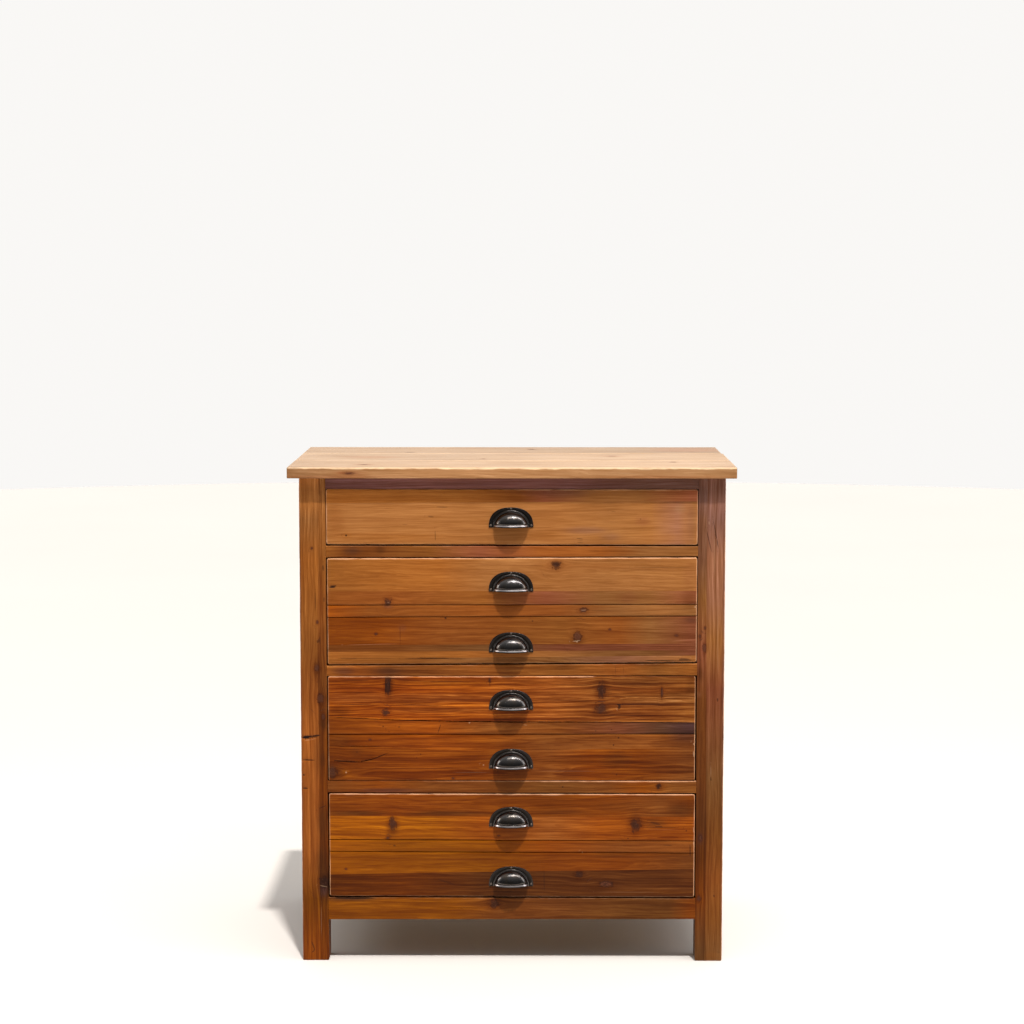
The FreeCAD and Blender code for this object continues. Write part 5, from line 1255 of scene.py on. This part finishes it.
for name in NODES:
    if name.startswith("pull_pins"):
        finish_node(name, PINS)
    elif name == "top_screws":
        finish_node(name, STEEL)
    elif name == "back_panel":
        finish_node(name, PLY_Z)
    elif name.startswith("drawer_") and name.endswith("_bottom"):
        finish_node(name, PLY_X)
    elif name.startswith("drawer_") and "_side_" in name:
        finish_node(name, SIDE_L)
    elif name.startswith("drawer_") and name.endswith("_back"):
        finish_node(name, SIDE_B)
    elif name.startswith("runners") or name == "top_kickers":
        finish_node(name, RUNNER)
    elif name.startswith("back_rail") or name == "drawer_stops":
        finish_node(name, CROSS)

# ---------------------------------------------------------------- floor, light, camera
scene = bpy.context.scene
scene.view_settings.view_transform = "Standard"
scene.view_settings.look = "None"

fl = Nodes("studio_floor")
tc = fl.t.nodes.new("ShaderNodeTexCoord").outputs["Object"]
fg = fl.m("ADD", 0.97, fl.m("MULTIPLY", fl.noise(tc, 0.7, 2.0, 0.5), 0.05))
floor_mat = fl.fin(Base_Color=fl.mix(1.0, c4((0.54, 0.515, 0.49)), fl.comb(fg, fg, fg), "MULTIPLY"), Roughness=0.85)
me = bpy.data.meshes.new("floor")
ring = [(9.0 * math.cos(t), 9.0 * math.sin(t) + 1.5, 0.0) for t in np.linspace(0, 2 * math.pi, 96, endpoint=False)]
me.from_pydata(ring, [], [list(range(96))])
me.materials.append(floor_mat)
floor = bpy.data.objects.new("floor", me)
scene.collection.objects.link(floor)

world = bpy.data.worlds.new("studio")
scene.world = world
world.use_nodes = True
wt = world.node_tree
bg = wt.nodes["Background"]
# soft pale light: bright behind and overhead, dimmer on the viewer's side
wc = wt.nodes.new("ShaderNodeTexCoord")
wx = wt.nodes.new("ShaderNodeSeparateXYZ")
wt.links.new(wc.outputs["Generated"], wx.inputs[0])
wr = wt.nodes.new("ShaderNodeMapRange")
wr.interpolation_type = "SMOOTHSTEP"
wt.links.new(wx.outputs[1], wr.inputs[0])
for i, v in enumerate((-0.55, 0.25, 0.10, 0.95)):
    wr.inputs[i + 1].default_value = v
wu = wt.nodes.new("ShaderNodeMapRange")
wu.interpolation_type = "SMOOTHSTEP"
wt.links.new(wx.outputs[2], wu.inputs[0])
for i, v in enumerate((0.25, 0.95, 0.0, 0.55)):
    wu.inputs[i + 1].default_value = v
wm = wt.nodes.new("ShaderNodeMath")
wm.operation = "ADD"
wt.links.new(wr.outputs[0], wm.inputs[0])
wt.links.new(wu.outputs[0], wm.inputs[1])
wn = wt.nodes.new("ShaderNodeMath")
wn.operation = "MINIMUM"
wt.links.new(wm.outputs[0], wn.inputs[0])
wn.inputs[1].default_value = 0.97
wt.links.new(wn.outputs[0], bg.inputs[1])
bg.inputs[0].default_value = (1.0, 0.985, 0.965, 1.0)


def lamp(kind, name, energy, loc, target, size=None, colour=(1, 1, 1), angle=None, size_y=None, along=None):
    li = bpy.data.lights.new(name, kind)
    li.energy = energy
    li.color = colour
    if kind == "AREA":
        li.shape = "RECTANGLE"
        li.size, li.size_y = size, size_y or size
    if angle is not None:
        li.angle = math.radians(angle)
    ob = bpy.data.objects.new(name, li)
    back = (Vector(loc) - Vector(target)).normalized()
    side = Vector(along) if along else Vector((0.0, 0.0, 1.0)).cross(back)
    side = (side - back * side.dot(back)).normalized()
    up = back.cross(side)
    ob.matrix_world = Matrix(((side[0], up[0], back[0], loc[0]), (side[1], up[1], back[1], loc[1]), (side[2], up[2], back[2], loc[2]), (0, 0, 0, 1)))
    scene.collection.objects.link(ob)
    return ob


el, az = math.radians(67), math.radians(14)
sun_dir = Vector((math.sin(az) * math.cos(el), -math.cos(az) * math.cos(el), math.sin(el)))
lamp("SUN", "key", 4.1, tuple(sun_dir * 5), (0, 0, 0), colour=(1.0, 0.965, 0.92), angle=2.2).visible_glossy = False
# the bright patch that the polished cups pick up beside the long strip
lamp("AREA", "glint", 16.0, (0.55, -1.50, 3.15), (0, -0.25, 0.55), size=0.60, size_y=0.30, colour=(1.0, 0.99, 0.98)).visible_diffuse = False
lamp("AREA", "right_soft", 18.0, (2.9, -0.35, 1.7), (0.2, -0.2, 0.55), size=0.9, size_y=1.5, colour=(0.97, 0.98, 1.0))
lamp("AREA", "left_soft", 16.0, (-2.7, -0.30, 1.6), (-0.2, -0.2, 0.55), size=0.7, size_y=0.9, colour=(1.0, 0.96, 0.90))
lamp("AREA", "upper_strip", 44.0, (0.80, -1.22, 2.97), (0, -0.25, 0.55), size=3.4, size_y=0.28, colour=(1.0, 0.985, 0.97), along=(3.13, 1.083, -0.545))

cam = bpy.data.cameras.new("camera")
cam.sensor_fit = "HORIZONTAL"
cam.sensor_width = 36.0
cam.lens = FOCAL * 36.0 / 1024.0
cam.clip_end = 100.0
camera = bpy.data.objects.new("camera", cam)
M = Matrix.Identity(4)
for i in range(3):
    M[i][0], M[i][1], M[i][2], M[i][3] = RIGHT[i], UP[i], -FWD[i], EYE[i] * 0.001
camera.matrix_world = M
scene.collection.objects.link(camera)
scene.camera = camera

bpy.context.view_layer.update()
